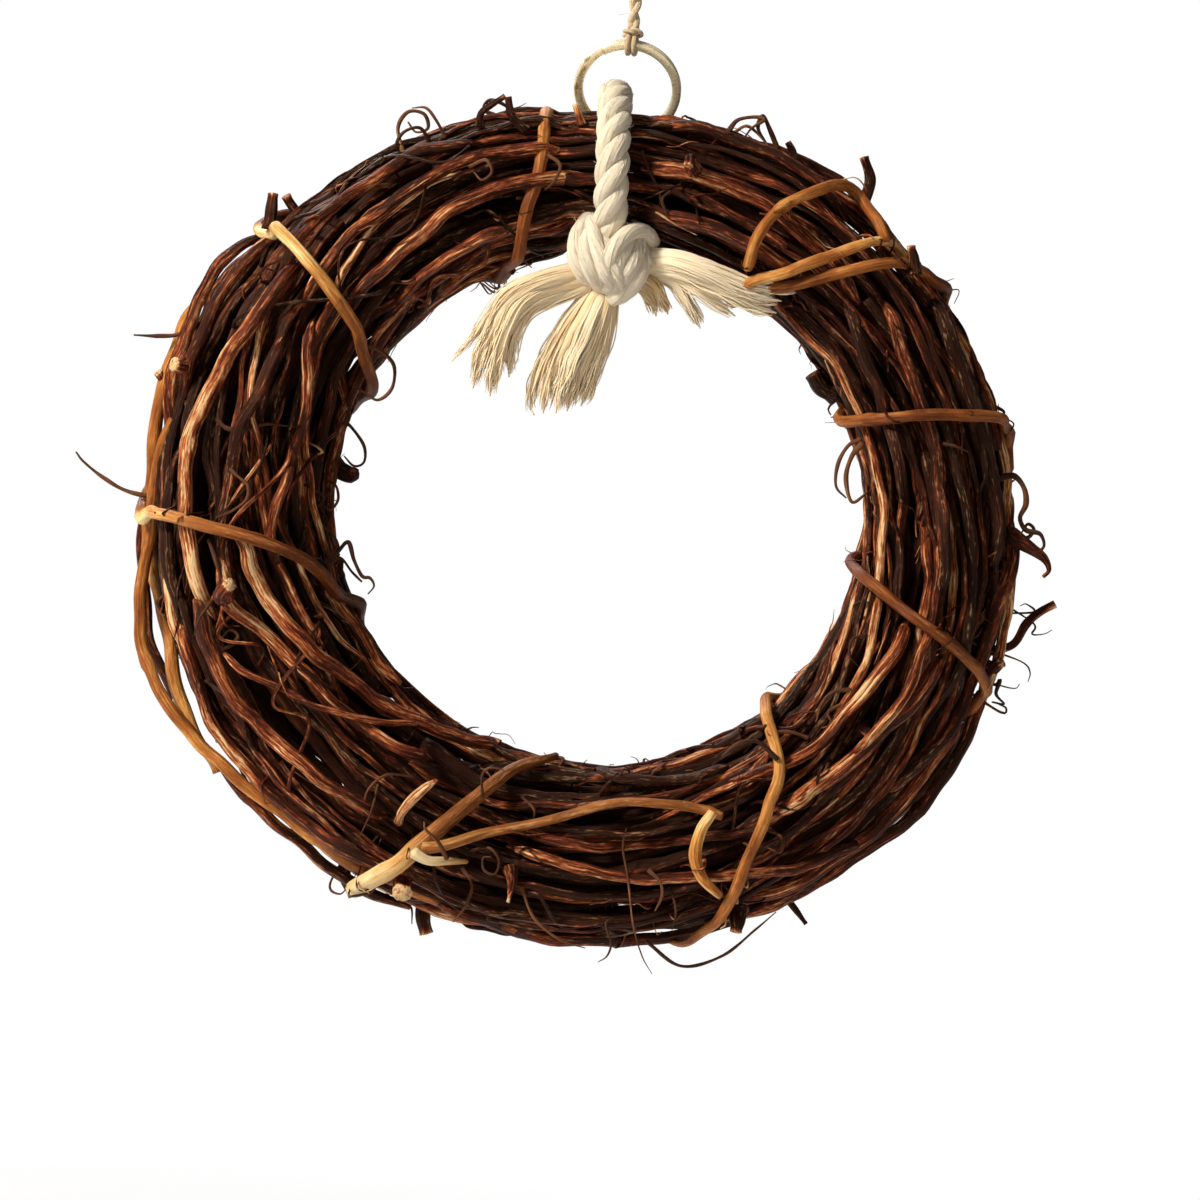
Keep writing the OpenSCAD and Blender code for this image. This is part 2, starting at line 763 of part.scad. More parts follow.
twine_loop();
twine_loop_knot();
twine_stem();
twine_hitch();
metal_ring();
rope_loop();
rope_knot();
rope_tail(left_root_share, left_shares);  // rope_tail_left
rope_tail(middle_root_share, middle_shares);  // rope_tail_middle
rope_tail(right_root_share, right_shares);  // rope_tail_right
rope_tail(short_root_share, short_shares);  // rope_tail_short
outer_vine(0);  // outer_vine_1
outer_vine(1);  // outer_vine_2
outer_vine(2);  // outer_vine_3
outer_vine(3);  // outer_vine_4
outer_vine(4);  // outer_vine_5
inner_vine(0);  // inner_vine_1
inner_vine(1);  // inner_vine_2
inner_vine(2);  // inner_vine_3
bowed_vine(0);  // bowed_vine_1
bowed_vine(1);  // bowed_vine_2
laid_vines(laid_left_angles);  // laid_vines_left
laid_vines(laid_right_angles);  // laid_vines_right
laid_vines(laid_top_angles);  // laid_vines_top
laid_vines(laid_bottom_angles);  // laid_vines_bottom
laid_vines(laid_back_angles);  // laid_vines_back
binder(right_angles, right_turns);  // binding_vine_right
binder(left_angles, left_turns);  // binding_vine_left
binder(top_angles, top_turns);  // binding_vine_top
forked_twig();
front_shoot();
cut_stubs();
tendrils(top_row_shares);  // top_tendrils
tendrils(left_row_shares);  // left_tendrils
tendrils(right_row_shares);  // right_tendrils
tendrils(inner_row_shares);  // inner_tendrils
tendrils(bottom_row_shares);  // bottom_tendrils
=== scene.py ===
"""Bird swing: a wreath of wound vines, tied with a cotton rope to a metal ring on jute twine.

Lengths are in millimetres and angles in degrees, as in the CAD source, whose own formulas place
the pieces. A mesh is turned to metres when it is made. What stands out in the photograph is placed
at its pixels, on the surface of the canes that carry it.
"""

import math

import bpy
import numpy as np
from mathutils import Matrix, Vector


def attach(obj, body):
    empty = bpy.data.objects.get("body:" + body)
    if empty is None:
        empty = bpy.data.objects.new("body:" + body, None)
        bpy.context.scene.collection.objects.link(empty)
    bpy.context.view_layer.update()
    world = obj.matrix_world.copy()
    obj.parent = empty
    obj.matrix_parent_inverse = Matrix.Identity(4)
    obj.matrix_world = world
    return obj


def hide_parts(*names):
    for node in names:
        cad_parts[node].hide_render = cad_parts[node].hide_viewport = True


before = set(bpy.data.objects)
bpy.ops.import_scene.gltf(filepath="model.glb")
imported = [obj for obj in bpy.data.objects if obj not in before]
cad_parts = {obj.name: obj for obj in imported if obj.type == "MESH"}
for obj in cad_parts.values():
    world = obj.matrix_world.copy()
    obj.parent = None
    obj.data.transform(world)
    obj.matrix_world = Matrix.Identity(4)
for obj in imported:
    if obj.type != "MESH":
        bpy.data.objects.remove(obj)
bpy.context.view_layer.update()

MM = 0.001
rng = np.random.default_rng(11)

# ---- Values of the CAD source ----

WREATH_RX, WREATH_RZ, WREATH_SHIFT = 88.6, 86.1, 1.0
WREATH_Z = -167.091
VINE_R = 2.7
OUTER_R, INNER_R = 14.549, 8.799
OUTER_LANES, INNER_LANES = 15, 9
LOOSE_SHARE, LOOSE_ANGLE = 0.38, 230
WAVE, TAPER, SWAY = 0.9, 0.22, 16
OUTER_STARTS, INNER_STARTS = (15, 135, 240, 60, 300), (90, 210, 330)
TOP_R = OUTER_R + VINE_R
GAP = 0.35
ROPE_R = 4.0
ROPE_MID = np.array([-4.0, 0.0, -81.224])
ROPE_RING_R = TOP_R + GAP + ROPE_R
WIRE_LOW = np.array([-4.0, 13.063, -67.0052])
RING_MID = np.array([0.0, 6.70348, -56.8278])
RING_MEAN_R, WIRE_R, RING_LEAN = 12.65, 1.15, 32
HITCH_Z = -46.1
TWINE_D = 3.2
LOOP_LEN, LOOP_W, STEM_LEN = 24.0, 12.0, 9.0


def sin(a):
    return np.sin(np.radians(a))


def cos(a):
    return np.cos(np.radians(a))


def unit(v):
    return v / np.linalg.norm(v, axis=-1, keepdims=True)


def around(sides):
    return 360 * np.arange(sides) / sides


def freed(th):
    """0 under the rope, where the bundle is tight, and 1 from 20 degrees away."""
    from_top = th - 360 * np.round((th - 90) / 360) - 90
    return np.minimum(1, (from_top / 20) ** 2)


def spread(th):
    """Factor by which the bundle is looser than under the rope."""
    return 1 + LOOSE_SHARE * freed(th) * (1 - cos(th - LOOSE_ANGLE + 180)) / 2


def outward(th):
    th = np.asarray(th, float)
    return np.stack([cos(th), 0 * th, sin(th)], -1)


def mid(th):
    """Middle of the bundle at an angle round the wreath."""
    return np.array([WREATH_SHIFT, 0, WREATH_Z]) + outward(th) * [WREATH_RX, 0, WREATH_RZ]


def on_bundle(th, psi, r):
    """Points at angles round the wreath, directions in the cross-section and radii."""
    th, psi, r = np.broadcast_arrays(*[np.asarray(v, float) for v in (th, psi, r)])
    front = np.stack([0 * th, -sin(psi), 0 * th], -1)
    return mid(th) + r[..., None] * (cos(psi)[..., None] * outward(th) + front)


def lane_psi(th, lane):
    """Direction in the cross-section at which a lane of the outer layer lies."""
    return th / 3 + SWAY * sin(2 * th + 30) + lane * 360 / OUTER_LANES


def outer_wave(th, vine):
    return WAVE * freed(th) * (1 + sin(2 * th + 75 * vine)) / 2


# ---- Where a pixel of the photograph lies ----

PHOTO_PX, PHOTO_MM, PHOTO_TURN = 1200, 0.2558, 5.4  # width, size of a pixel and camera's roll
PHOTO_CENTRE, WREATH_PX = PHOTO_PX / 2, (591, 516)
CAMERA_AWAY = 1250.0


def photo_xz(px, py, front=0.0):
    """Where a pixel's line of sight is, at a distance in front of the wreath's middle plane."""
    px, py = (PHOTO_CENTRE + (p - PHOTO_CENTRE) * (1 - front / CAMERA_AWAY) for p in (px, py))
    dx, dz = (px - WREATH_PX[0]) * PHOTO_MM, -(py - WREATH_PX[1]) * PHOTO_MM
    c, s = cos(PHOTO_TURN), sin(PHOTO_TURN)
    return WREATH_SHIFT + dx * c - dz * s, WREATH_Z + dx * s + dz * c


def facing(off, r):
    """Direction in the cross-section of what is seen at a distance outwards and a radius."""
    return np.degrees(np.arccos(np.clip(off / r, -1, 1)))


def photo_spot(px, py, a=1.5):
    """Angle round the wreath, distance outwards from the bundle's middle and direction in the
    cross-section of what a pixel shows of a cane on the bundle's front."""
    front = 0.0
    for _ in range(3):
        x, z = photo_xz(px, py, front)
        th = math.degrees(math.atan2((z - WREATH_Z) / WREATH_RZ, (x - WREATH_SHIFT) / WREATH_RX))
        for _ in range(12):
            apart = np.array([x, 0, z]) - mid(th)
            th += math.degrees(apart @ np.array([-sin(th), 0, cos(th)]) / WREATH_RX)
        off = (np.array([x, 0, z]) - mid(th)) @ outward(th)
        r = OUTER_R * spread(th) + VINE_R + a
        psi = facing(off, r)
        front = r * sin(psi)
    return th, off, psi


def pixels(text):
    """Points written as x,y or x,y,front: a pixel, and how far in front a point stands."""
    return np.array([[float(v) for v in (word + ",0").split(",")[:3]] for word in text.split()])


def drawn(table):
    """Rows of a table. Each is values, a colon, points and a semicolon."""
    rows = [row.split(":") for row in table.split(";")[:-1]]
    return [(pixels(points), *map(float, values.split())) for values, points in rows]


def in_space(points, lower=0, sight=0):
    """Points by pixels and distance in front of the wreath's middle plane. With sight=1 they lie
    on the pixels' lines of sight."""
    rows = [(*photo_xz(px, py + lower, sight * front), -front) for px, py, front in points]
    return np.array(rows)[:, [0, 2, 1]]


# ---- Curves ----


def smooth_curve(points, step):
    """Points about step apart on a smooth curve through the given ones."""
    p = np.asarray(points, float)
    p = np.vstack([2 * p[0] - p[1], p, 2 * p[-1] - p[-2]])
    out = []
    for a, b, c, d in zip(p, p[1:], p[2:], p[3:]):
        n = max(2, math.ceil(np.linalg.norm((c - b)[:3]) / step))
        u = (np.arange(n) / n)[:, None]
        cubic = (3 * b - a - 3 * c + d) * u**3
        out.append(0.5 * (2 * b + (c - a) * u + (2 * a - 5 * b + 4 * c - d) * u**2 + cubic))
    return np.vstack(out + [p[-2:-1]])


def lengths(path):
    """Distance along a path at each of its points."""
    return np.concatenate([[0], np.cumsum(np.linalg.norm(np.diff(path, axis=0), axis=1))])


def evened(path, step):
    """The path again with even steps."""
    s = lengths(path)
    t = np.linspace(0, s[-1], max(2, int(round(s[-1] / step)) + 1))
    return np.stack([np.interp(t, s, column) for column in path.T], 1)


def curve(points, step):
    return evened(smooth_curve(points, step), step)


def carried(path):
    """Two side directions that follow a path without twisting."""
    t = unit(np.gradient(path, axis=0))
    side = np.array([0.0, 1.0, 0.0]) if abs(t[0][1]) < 0.8 else np.array([1.0, 0.0, 0.0])
    sides = np.empty_like(path)
    for i in range(len(path)):
        side = side - (side @ t[i]) * t[i]
        side = side / np.linalg.norm(side)
        sides[i] = side
    return sides, np.cross(t, sides)


def along(s, at, values):
    """Values between the given ones, at shares of the length s."""
    return np.interp(s / s[-1], at, values)


# ---- Meshes ----


class Build:
    """Collects tubes and other skins, with a grain direction and a tone at each vertex, until
    finish makes a piece of them and empties it for the next."""

    def __init__(self):
        self.verts, self.grain, self.tone, self.quads, self.tris = [], [], [], [], []
        self.count = 0

    def skin(self, rings, s, across, tone, tips):
        """Quads between rings of points and a fan round a tip at each end. The grain's first
        number runs along the rings, and across holds the two others."""
        n, sides = rings.shape[:2]
        grain = np.stack([np.repeat(s[:, None], sides, 1), *across], -1).reshape(-1, 3)
        row, k = np.meshgrid(np.arange(n - 1) * sides, np.arange(sides), indexing="ij")
        a, b = row + k, row + (k + 1) % sides
        quads = np.stack([a, b, b + sides, a + sides], -1).reshape(-1, 4)
        here, ahead, tip = k[0], (k[0] + 1) % sides, np.full(sides, n * sides)
        last = (n - 1) * sides
        fans = np.stack([[tip, ahead, here], [tip + 1, last + here, last + ahead]])
        self.verts.append(np.vstack([rings.reshape(-1, 3), tips]))
        self.grain.append(np.vstack([grain, [[s[0], 0, 0], [s[-1], 0, 0]]]))
        self.tone.append(np.append(np.repeat(tone, sides), [tone[0], tone[-1]]))
        self.quads.append(quads + self.count)
        self.tris.append(fans.transpose(0, 2, 1).reshape(-1, 3) + self.count)
        self.count += n * sides + 2

    def tube(self, path, r, sides, tone=0.5, profile=1, squash=1, ends=(0.35, 0.35)):
        """A tube along a path. profile scales the radius at each ring and side, and ends says
        how far each end is drawn out, as a share of its radius."""
        n = len(path)
        r, tone = (np.broadcast_to(np.asarray(v, float), (n,)) for v in (r, tone))
        side, up = carried(path)
        size = (r[:, None] * profile * np.ones(sides))[:, :, None]
        ca, sa = (f(around(sides))[None, :, None] for f in (cos, sin))
        rings = path[:, None] + size * (ca * side[:, None] + sa * squash * up[:, None])
        s = lengths(path) + rng.uniform(0, 4000)
        tips = [
            path[end] + unit(path[end] - path[inner]) * r[end] * out
            for end, inner, out in zip((0, -1), (1, -2), ends)
        ]
        self.skin(rings, s, ((size * ca)[:, :, 0], (size * sa)[:, :, 0]), tone, tips)

    def finish(self, name, slot, material, *nodes, body="swing"):
        """Makes the piece, which rides on a body and stands for the named nodes of the CAD."""
        faces = [np.vstack(self.quads), np.vstack(self.tris)]
        corners = np.concatenate([part.ravel() for part in faces]).astype(np.int32)
        sizes = np.repeat([4, 3], [len(part) for part in faces])
        mesh = bpy.data.meshes.new(name)
        mesh.vertices.add(self.count)
        mesh.vertices.foreach_set("co", (np.vstack(self.verts) * MM).astype(np.float32).ravel())
        mesh.loops.add(len(corners))
        mesh.loops.foreach_set("vertex_index", corners)
        mesh.polygons.add(len(sizes))
        mesh.polygons.foreach_set("loop_start", (np.cumsum(sizes) - sizes).astype(np.int32))
        mesh.update(calc_edges=True)
        mesh.validate()
        mesh.polygons.foreach_set("use_smooth", np.full(len(mesh.polygons), True))
        for key, kind, field, values in (
            ("grain", "FLOAT_VECTOR", "vector", self.grain),
            ("tone", "FLOAT", "value", self.tone),
        ):
            values = np.concatenate(values).astype(np.float32).ravel()
            mesh.attributes.new(key, kind, "POINT").data.foreach_set(field, values)
        mesh.materials.append(material)
        obj = shown(name, mesh)
        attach(obj, body)
        if nodes:
            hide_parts(*nodes)
        self.__init__()
        return obj


def shown(name, data):
    obj = bpy.data.objects.new(name, data)
    bpy.context.collection.objects.link(obj)
    return obj


build = Build()

# ---- Materials ----


class Nodes:
    """Short calls that add shader nodes to a material or world and join them."""

    def __init__(self, owner):
        owner.use_nodes = True
        self.owner, self.tree = owner, owner.node_tree

    def add(self, kind, inputs=(), **settings):
        node = self.tree.nodes.new("ShaderNode" + kind)
        for key, value in settings.items():
            setattr(node, key, value)
        self.put(node, inputs)
        return node

    def put(self, node, inputs):
        for key, value in dict(inputs).items():
            if isinstance(value, bpy.types.NodeSocket):
                self.tree.links.new(value, node.inputs[key])
            else:
                node.inputs[key].default_value = value

    def math(self, operation, a, b, clamp=False):
        return self.add("Math", {0: a, 1: b}, operation=operation, use_clamp=clamp).outputs[0]

    def varied(self, value, noise, share):
        """The value moved up and down by a noise."""
        apart = self.math("MULTIPLY", self.math("SUBTRACT", noise, 0.5), share)
        return self.math("ADD", value, apart)

    def grain_and_tone(self):
        grain = self.add("Attribute", attribute_name="grain").outputs["Vector"]
        return grain, self.add("Attribute", attribute_name="tone").outputs["Fac"]

    def noise(self, vector, detail, rough=0.6, distortion=0.0, scale=1.0, stretch=None):
        """A noise. stretch is its scales along and across the grain."""
        if stretch:
            inputs = {"Vector": vector, "Scale": (*stretch, stretch[1])}
            vector = self.add("Mapping", inputs, vector_type="POINT").outputs[0]
        inputs = {"Vector": vector, "Scale": scale, "Detail": detail}
        inputs |= {"Roughness": rough, "Distortion": distortion}
        return self.add("TexNoise", inputs).outputs["Fac"]

    def ramp(self, fac, stops):
        """Colours or greys by value."""
        node = self.add("ValToRGB", {"Fac": fac})
        elements = node.color_ramp.elements
        while len(elements) < len(stops):
            elements.new(0.5)
        for element, (place, colour) in zip(elements, stops):
            element.position = place
            element.color = (*(colour if isinstance(colour, tuple) else (colour,) * 3), 1)
        return node.outputs[0]

    def bump(self, height, distance, strength, *normal):
        inputs = {"Height": height, "Distance": distance, "Strength": strength}
        return self.add("Bump", inputs | {"Normal": n for n in normal}).outputs[0]

    def shade(self, colour, rough, normal, specular, **more):
        inputs = {"Base Color": colour, "Roughness": rough, "Normal": normal}
        inputs |= {"Specular IOR Level": specular} | more
        self.put(self.tree.nodes["Principled BSDF"], inputs)
        return self.owner


def bark(name, stops, fibre=1.0, flakes=0.5, rough=0.62, flake_colour=(0.6, 0.4, 0.24)):
    """Vine bark: long fibres, dark and light patches, and strips that have flaked off."""
    n = Nodes(bpy.data.materials.new(name))
    grain, tone = n.grain_and_tone()
    fine = n.noise(grain, 5, 0.65, 0.4, stretch=(0.11, 1.9))
    long = n.noise(grain, 3, 0.6, 0.3, stretch=(0.035, 0.75))
    patch = n.noise(grain, 3, 0.55, 0.8, stretch=(0.05, 0.16))
    speck = n.noise(grain, 2, 0.5, stretch=(0.5, 2.4))
    value = n.math("MULTIPLY", n.math("SUBTRACT", fine, 0.5), 1.25 * fibre)
    for noise, share in ((long, 1.2 * fibre), (patch, 0.9), (speck, 0.5 * fibre)):
        value = n.varied(value, noise, share)
    colour = n.ramp(n.math("ADD", value, tone, True), stops)
    flake = n.ramp(n.math("MULTIPLY", n.math("ADD", long, speck), 0.5), [(0.56, 0), (0.64, 1)])
    inputs = {0: n.math("MULTIPLY", flake, flakes), 6: colour, 7: (*flake_colour, 1)}
    colour = n.add("Mix", inputs, data_type="RGBA").outputs[2]
    height = n.math("ADD", n.math("MULTIPLY", long, 1.4), fine)
    gloss = n.ramp(fine, [(0.3, rough - 0.16), (0.7, rough + 0.14)])
    tint = {"Specular Tint": (1, 0.52, 0.32, 1)}
    return n.shade(colour, gloss, n.bump(height, 0.0009 * fibre, 0.9), 0.32, **tint)


def cotton(name, light, shade, depth):
    """Soft cotton or jute: fine yarn along the strands, and painted shade: a warmer, darker
    colour in some of them.
    """
    n = Nodes(bpy.data.materials.new(name))
    grain, tone = n.grain_and_tone()
    yarn = n.noise(grain, 4, 0.6, 0.3, stretch=(0.22, 2.6))
    wide = n.noise(grain, 2, 0.5, stretch=(0.06, 0.3))
    value = n.varied(tone, yarn, 0.9)
    value = n.math("ADD", value, n.math("MULTIPLY", n.math("SUBTRACT", wide, 0.5), 0.4), True)
    middle = tuple((a * 2 + b) / 3 for a, b in zip(light, shade))
    colour = n.ramp(value, [(0.05, shade), (0.45, middle), (0.8, light)])
    hair = n.noise(grain, 3, 0.6, 1.0, stretch=(0.7, 6.0))
    normal = n.bump(hair, depth * 0.5, 0.7, n.bump(yarn, depth, 0.9))
    soft = {"Sheen Weight": 0.25, "Sheen Roughness": 0.5, "Subsurface Weight": 0.2}
    soft |= {"Subsurface Scale": 0.001, "Subsurface Radius": (1.0, 0.75, 0.5)}
    return n.shade(colour, 0.85, normal, 0.15, **soft)


def brass(name):
    """Pale brass, rubbed, with darker spots."""
    n = Nodes(bpy.data.materials.new(name))
    grain = n.grain_and_tone()[0]
    rub = n.noise(grain, 4, 0.6, stretch=(1.6, 0.5))
    spot = n.noise(grain, 2, 0.5, stretch=(0.25, 0.6))
    stops = [(0.3, (0.36, 0.24, 0.1)), (0.4, (0.80, 0.66, 0.40)), (0.75, (0.92, 0.83, 0.60))]
    gloss = n.ramp(rub, [(0.3, 0.22), (0.75, 0.42)])
    return n.shade(n.ramp(spot, stops), gloss, n.bump(rub, 0.00004, 0.15), 0.5, Metallic=0.45)


VINE = bark(
    "vine_bark",
    [
        (0.0, (0.004, 0.0009, 0.0004)),
        (0.28, (0.009, 0.0012, 0.0007)),
        (0.5, (0.0215, 0.0025, 0.001)),
        (0.7, (0.168, 0.027, 0.0085)),
        (0.87, (0.48, 0.155, 0.046)),
        (1.0, (0.76, 0.52, 0.26)),
    ],
    flakes=0.4,
    rough=0.52,
    flake_colour=(0.45, 0.28, 0.13),
)
# Painted shade: the canes deep in the bundle take this near-black bark, so the gaps between the
# outer canes read dark.
SHADED_CORE = bark(
    "core_bark_painted_shade",
    [
        (0.0, (0.003, 0.0006, 0.0003)),
        (0.45, (0.009, 0.0017, 0.0008)),
        (0.75, (0.030, 0.0055, 0.002)),
        (1.0, (0.11, 0.026, 0.008)),
    ],
    flakes=0.1,
    flake_colour=(0.20, 0.09, 0.04),
)
BINDER = bark(
    "binder_bark",
    [
        (0.0, (0.03, 0.006, 0.0015)),
        (0.3, (0.12, 0.028, 0.006)),
        (0.55, (0.30, 0.095, 0.019)),
        (0.78, (0.58, 0.27, 0.065)),
        (1.0, (0.84, 0.63, 0.30)),
    ],
    fibre=0.5,
    flakes=0.1,
    rough=0.46,
)
TWIG = bark(
    "twig_bark",
    [
        (0.0, (0.10, 0.028, 0.007)),
        (0.35, (0.30, 0.10, 0.022)),
        (0.65, (0.56, 0.31, 0.10)),
        (1.0, (0.74, 0.58, 0.32)),
    ],
    fibre=0.55,
    flakes=0.2,
    rough=0.5,
    flake_colour=(0.7, 0.5, 0.26),
)
TENDRIL = bark(
    "tendril_bark",
    [
        (0.0, (0.006, 0.003, 0.002)),
        (0.4, (0.032, 0.012, 0.007)),
        (0.7, (0.13, 0.05, 0.02)),
        (1.0, (0.42, 0.24, 0.11)),
    ],
    fibre=0.4,
    flakes=0.0,
)
COTTON = cotton("rope_cotton", (0.78, 0.66, 0.48), (0.52, 0.33, 0.14), 0.0006)
YARN = cotton("yarn_cotton", (0.78, 0.63, 0.42), (0.60, 0.37, 0.14), 0.0001)
JUTE = cotton("twine_jute", (0.66, 0.52, 0.33), (0.30, 0.18, 0.08), 0.0003)
BRASS = brass("ring_brass")

# ---- Camera, light and floor, whose values are in metres ----

MIDDLE = (0, 0, -0.165)  # what the lights are aimed at
FLOOR_Z, FLOOR_HALF = -0.42, 6.0
SHADOW_FROM, SHADOW_TO = 0.28, 0.7  # the floor whitens between these distances
WHITE = (1, 1, 1, 1)


def photo_camera():
    data = bpy.data.cameras.new("camera")
    camera = shown("camera", data)
    x, z = photo_xz(PHOTO_CENTRE, PHOTO_CENTRE)
    data.lens = data.sensor_width / (PHOTO_PX * PHOTO_MM) * CAMERA_AWAY
    camera.location = (x * MM, -CAMERA_AWAY * MM, z * MM)
    level = Matrix.Rotation(math.radians(90), 4, "X")
    roll = Matrix.Rotation(math.radians(-PHOTO_TURN), 4, "Y")
    camera.rotation_euler = (roll @ level).to_euler()
    data.clip_start, data.clip_end = 0.01, 20
    bpy.context.scene.camera = camera


def area_light(name, place, size, power, colour=(1, 1, 1)):
    data = bpy.data.lights.new(name, "AREA")
    data.shape, data.size, data.energy, data.color = "DISK", size, power, colour
    light = shown(name, data)
    light.location = place
    light.rotation_euler = (Vector(MIDDLE) - Vector(place)).to_track_quat("-Z", "Y").to_euler()


def surroundings():
    """Plain light, with white for the camera's own rays alone."""
    scene = bpy.context.scene
    scene.view_settings.view_transform = "Standard"
    scene.world = bpy.data.worlds.new("studio")
    n = Nodes(scene.world)
    n.tree.nodes.clear()
    seen = n.add("LightPath").outputs["Is Camera Ray"]
    lit = n.add("Background", {0: (1, 0.985, 0.96, 1), 1: 0.14}).outputs[0]
    white = n.add("Background", {0: WHITE, 1: 1.0}).outputs[0]
    n.add("OutputWorld", {0: n.add("MixShader", {0: seen, 1: lit, 2: white}).outputs[0]})
    area_light("key", (-1.15, -0.80, 0.75), 0.36, 46, (1, 0.96, 0.9))
    area_light("fill", (0.9, -1.3, 0.1), 0.8, 2)
    area_light("back", (-0.5, 0.9, 0.8), 0.5, 9)


def floor():
    """Paper that keeps the shadow near the object and is white further off."""
    n = Nodes(bpy.data.materials.new("floor_paper"))
    place = {0: n.add("NewGeometry").outputs["Position"], 1: (0, 0, FLOOR_Z)}
    away = n.add("VectorMath", place, operation="DISTANCE").outputs["Value"]
    inputs = {"Value": away, "From Min": SHADOW_FROM, "From Max": SHADOW_TO}
    far = n.add("MapRange", inputs, interpolation_type="SMOOTHSTEP").outputs[0]
    paper = n.noise(n.add("TexCoord").outputs["Object"], 3, scale=40)
    n.shade(n.ramp(paper, [(0.3, 0.80), (0.7, 0.84)]), 0.9, n.bump(paper, 0.0005, 0.2), 0.2)
    glow = n.add("Emission", {"Color": WHITE, "Strength": 1.0}).outputs[0]
    white = n.add("Math", {0: far, 1: 0.75, 2: 0.25}, operation="MULTIPLY_ADD").outputs[0]
    part = n.math("MULTIPLY", n.add("LightPath").outputs["Is Camera Ray"], white)
    shaded = n.tree.nodes["Principled BSDF"].outputs[0]
    mix = n.add("MixShader", {0: part, 1: shaded, 2: glow})
    n.put(n.tree.nodes["Material Output"], {0: mix.outputs[0]})
    mesh = bpy.data.meshes.new("floor")
    corners = [(-1, -1), (1, -1), (1, 1), (-1, 1)]
    corners = [(x * FLOOR_HALF, y * FLOOR_HALF, FLOOR_Z) for x, y in corners]
    mesh.from_pydata(corners, [], [(0, 1, 2, 3)])
    mesh.materials.append(n.owner)
    shown("floor", mesh)


photo_camera()
surroundings()
floor()

# ---- Twine: hitch, stem, knot and hanging loop ----


def plied(path, d, strands, lay, sides, tone, yarns=0, full=1.04, hairs=0):
    """A twisted cord: strands wound round its path. yarns is the number of ridges on each, and
    hairs the number of fine yarns that lie on it."""
    s = lengths(path)
    side, up = carried(path)
    strand_r = d / 2 * (1 / (1 + 1 / math.sin(math.pi / strands))) * full
    for k in range(strands):
        a = 360 * s / lay + 360 * k / strands
        line = path + (d / 2 - strand_r) * (cos(a)[:, None] * side + sin(a)[:, None] * up)
        ridges = np.abs(cos(yarns / 2 * (around(sides)[None] - 1.5 * a[:, None])))
        profile = 1 + 0.045 * ridges if yarns else 1
        build.tube(line, strand_r, sides, tone + rng.uniform(-0.06, 0.06), profile, ends=(0.3, 0.3))
        left, over = carried(line)
        for j in range(hairs):
            b = 360 * (j + rng.uniform(-0.4, 0.4)) / hairs - 360 * s / rng.uniform(45, 70)
            off = strand_r * rng.uniform(0.97, 1.0) + 0.06 * sin(s * rng.uniform(30, 70))
            yarn = line + off[:, None] * (cos(b)[:, None] * left + sin(b)[:, None] * over)
            build.tube(yarn[::2], rng.uniform(0.12, 0.24), 5, tone + rng.normal(-0.1, 0.22))


def fibres(path, indent, off, r, count, lift, reach, step):
    """Short fine fibres that stand off a cord or a rope."""
    for _ in range(count):
        i = int(rng.integers(indent, len(path) - indent))
        away = unit(rng.normal(size=3))
        start = path[i] + away * off
        bend = rng.normal(size=3) * 0.7
        points = [start, start + away * lift[0] + bend * lift[1]]
        points.append(start + away * rng.uniform(*reach) + bend)
        build.tube(smooth_curve(points, step), r, 3, 0.8)


KNOT_TOP = -LOOP_LEN
KNOT_BOTTOM = KNOT_TOP - 2.8 * TWINE_D
STEM_BOTTOM = KNOT_BOTTOM - STEM_LEN


def twine_route():
    """Middle line of the one free length of twine: up the stem, round the loop and back."""
    leg_x = TWINE_D * 0.53
    half_w = (LOOP_W + TWINE_D) / 2
    rise = LOOP_LEN + TWINE_D / 2
    shares = [(0, 0), (0, 0.13), (0.32, 0.27), (0.8, 0.47), (1, 0.67), (0.82, 0.87), (0.4, 0.975)]
    right = [[leg_x + (half_w - leg_x) * a, 0, KNOT_TOP + rise * b] for a, b in shares]
    left = [[-x, y, z] for x, y, z in right]
    loop = smooth_curve(right + [[0, 0, KNOT_TOP + rise]] + left[::-1], 0.6)
    stem = [(0, STEM_BOTTOM - 0.6), (0, STEM_BOTTOM + 3), (0, KNOT_BOTTOM - 0.5)]
    stem += [(0.2, KNOT_BOTTOM + 2.5), (leg_x, KNOT_TOP - 1.5)]
    return evened(np.vstack([smooth_curve([[x, 0, z] for x, z in stem], 0.6), loop]), 0.6)


def raised(points, height, step):
    """A smooth curve through points whose z counts from a height."""
    return smooth_curve(np.add(points, [0, 0, height]), step)


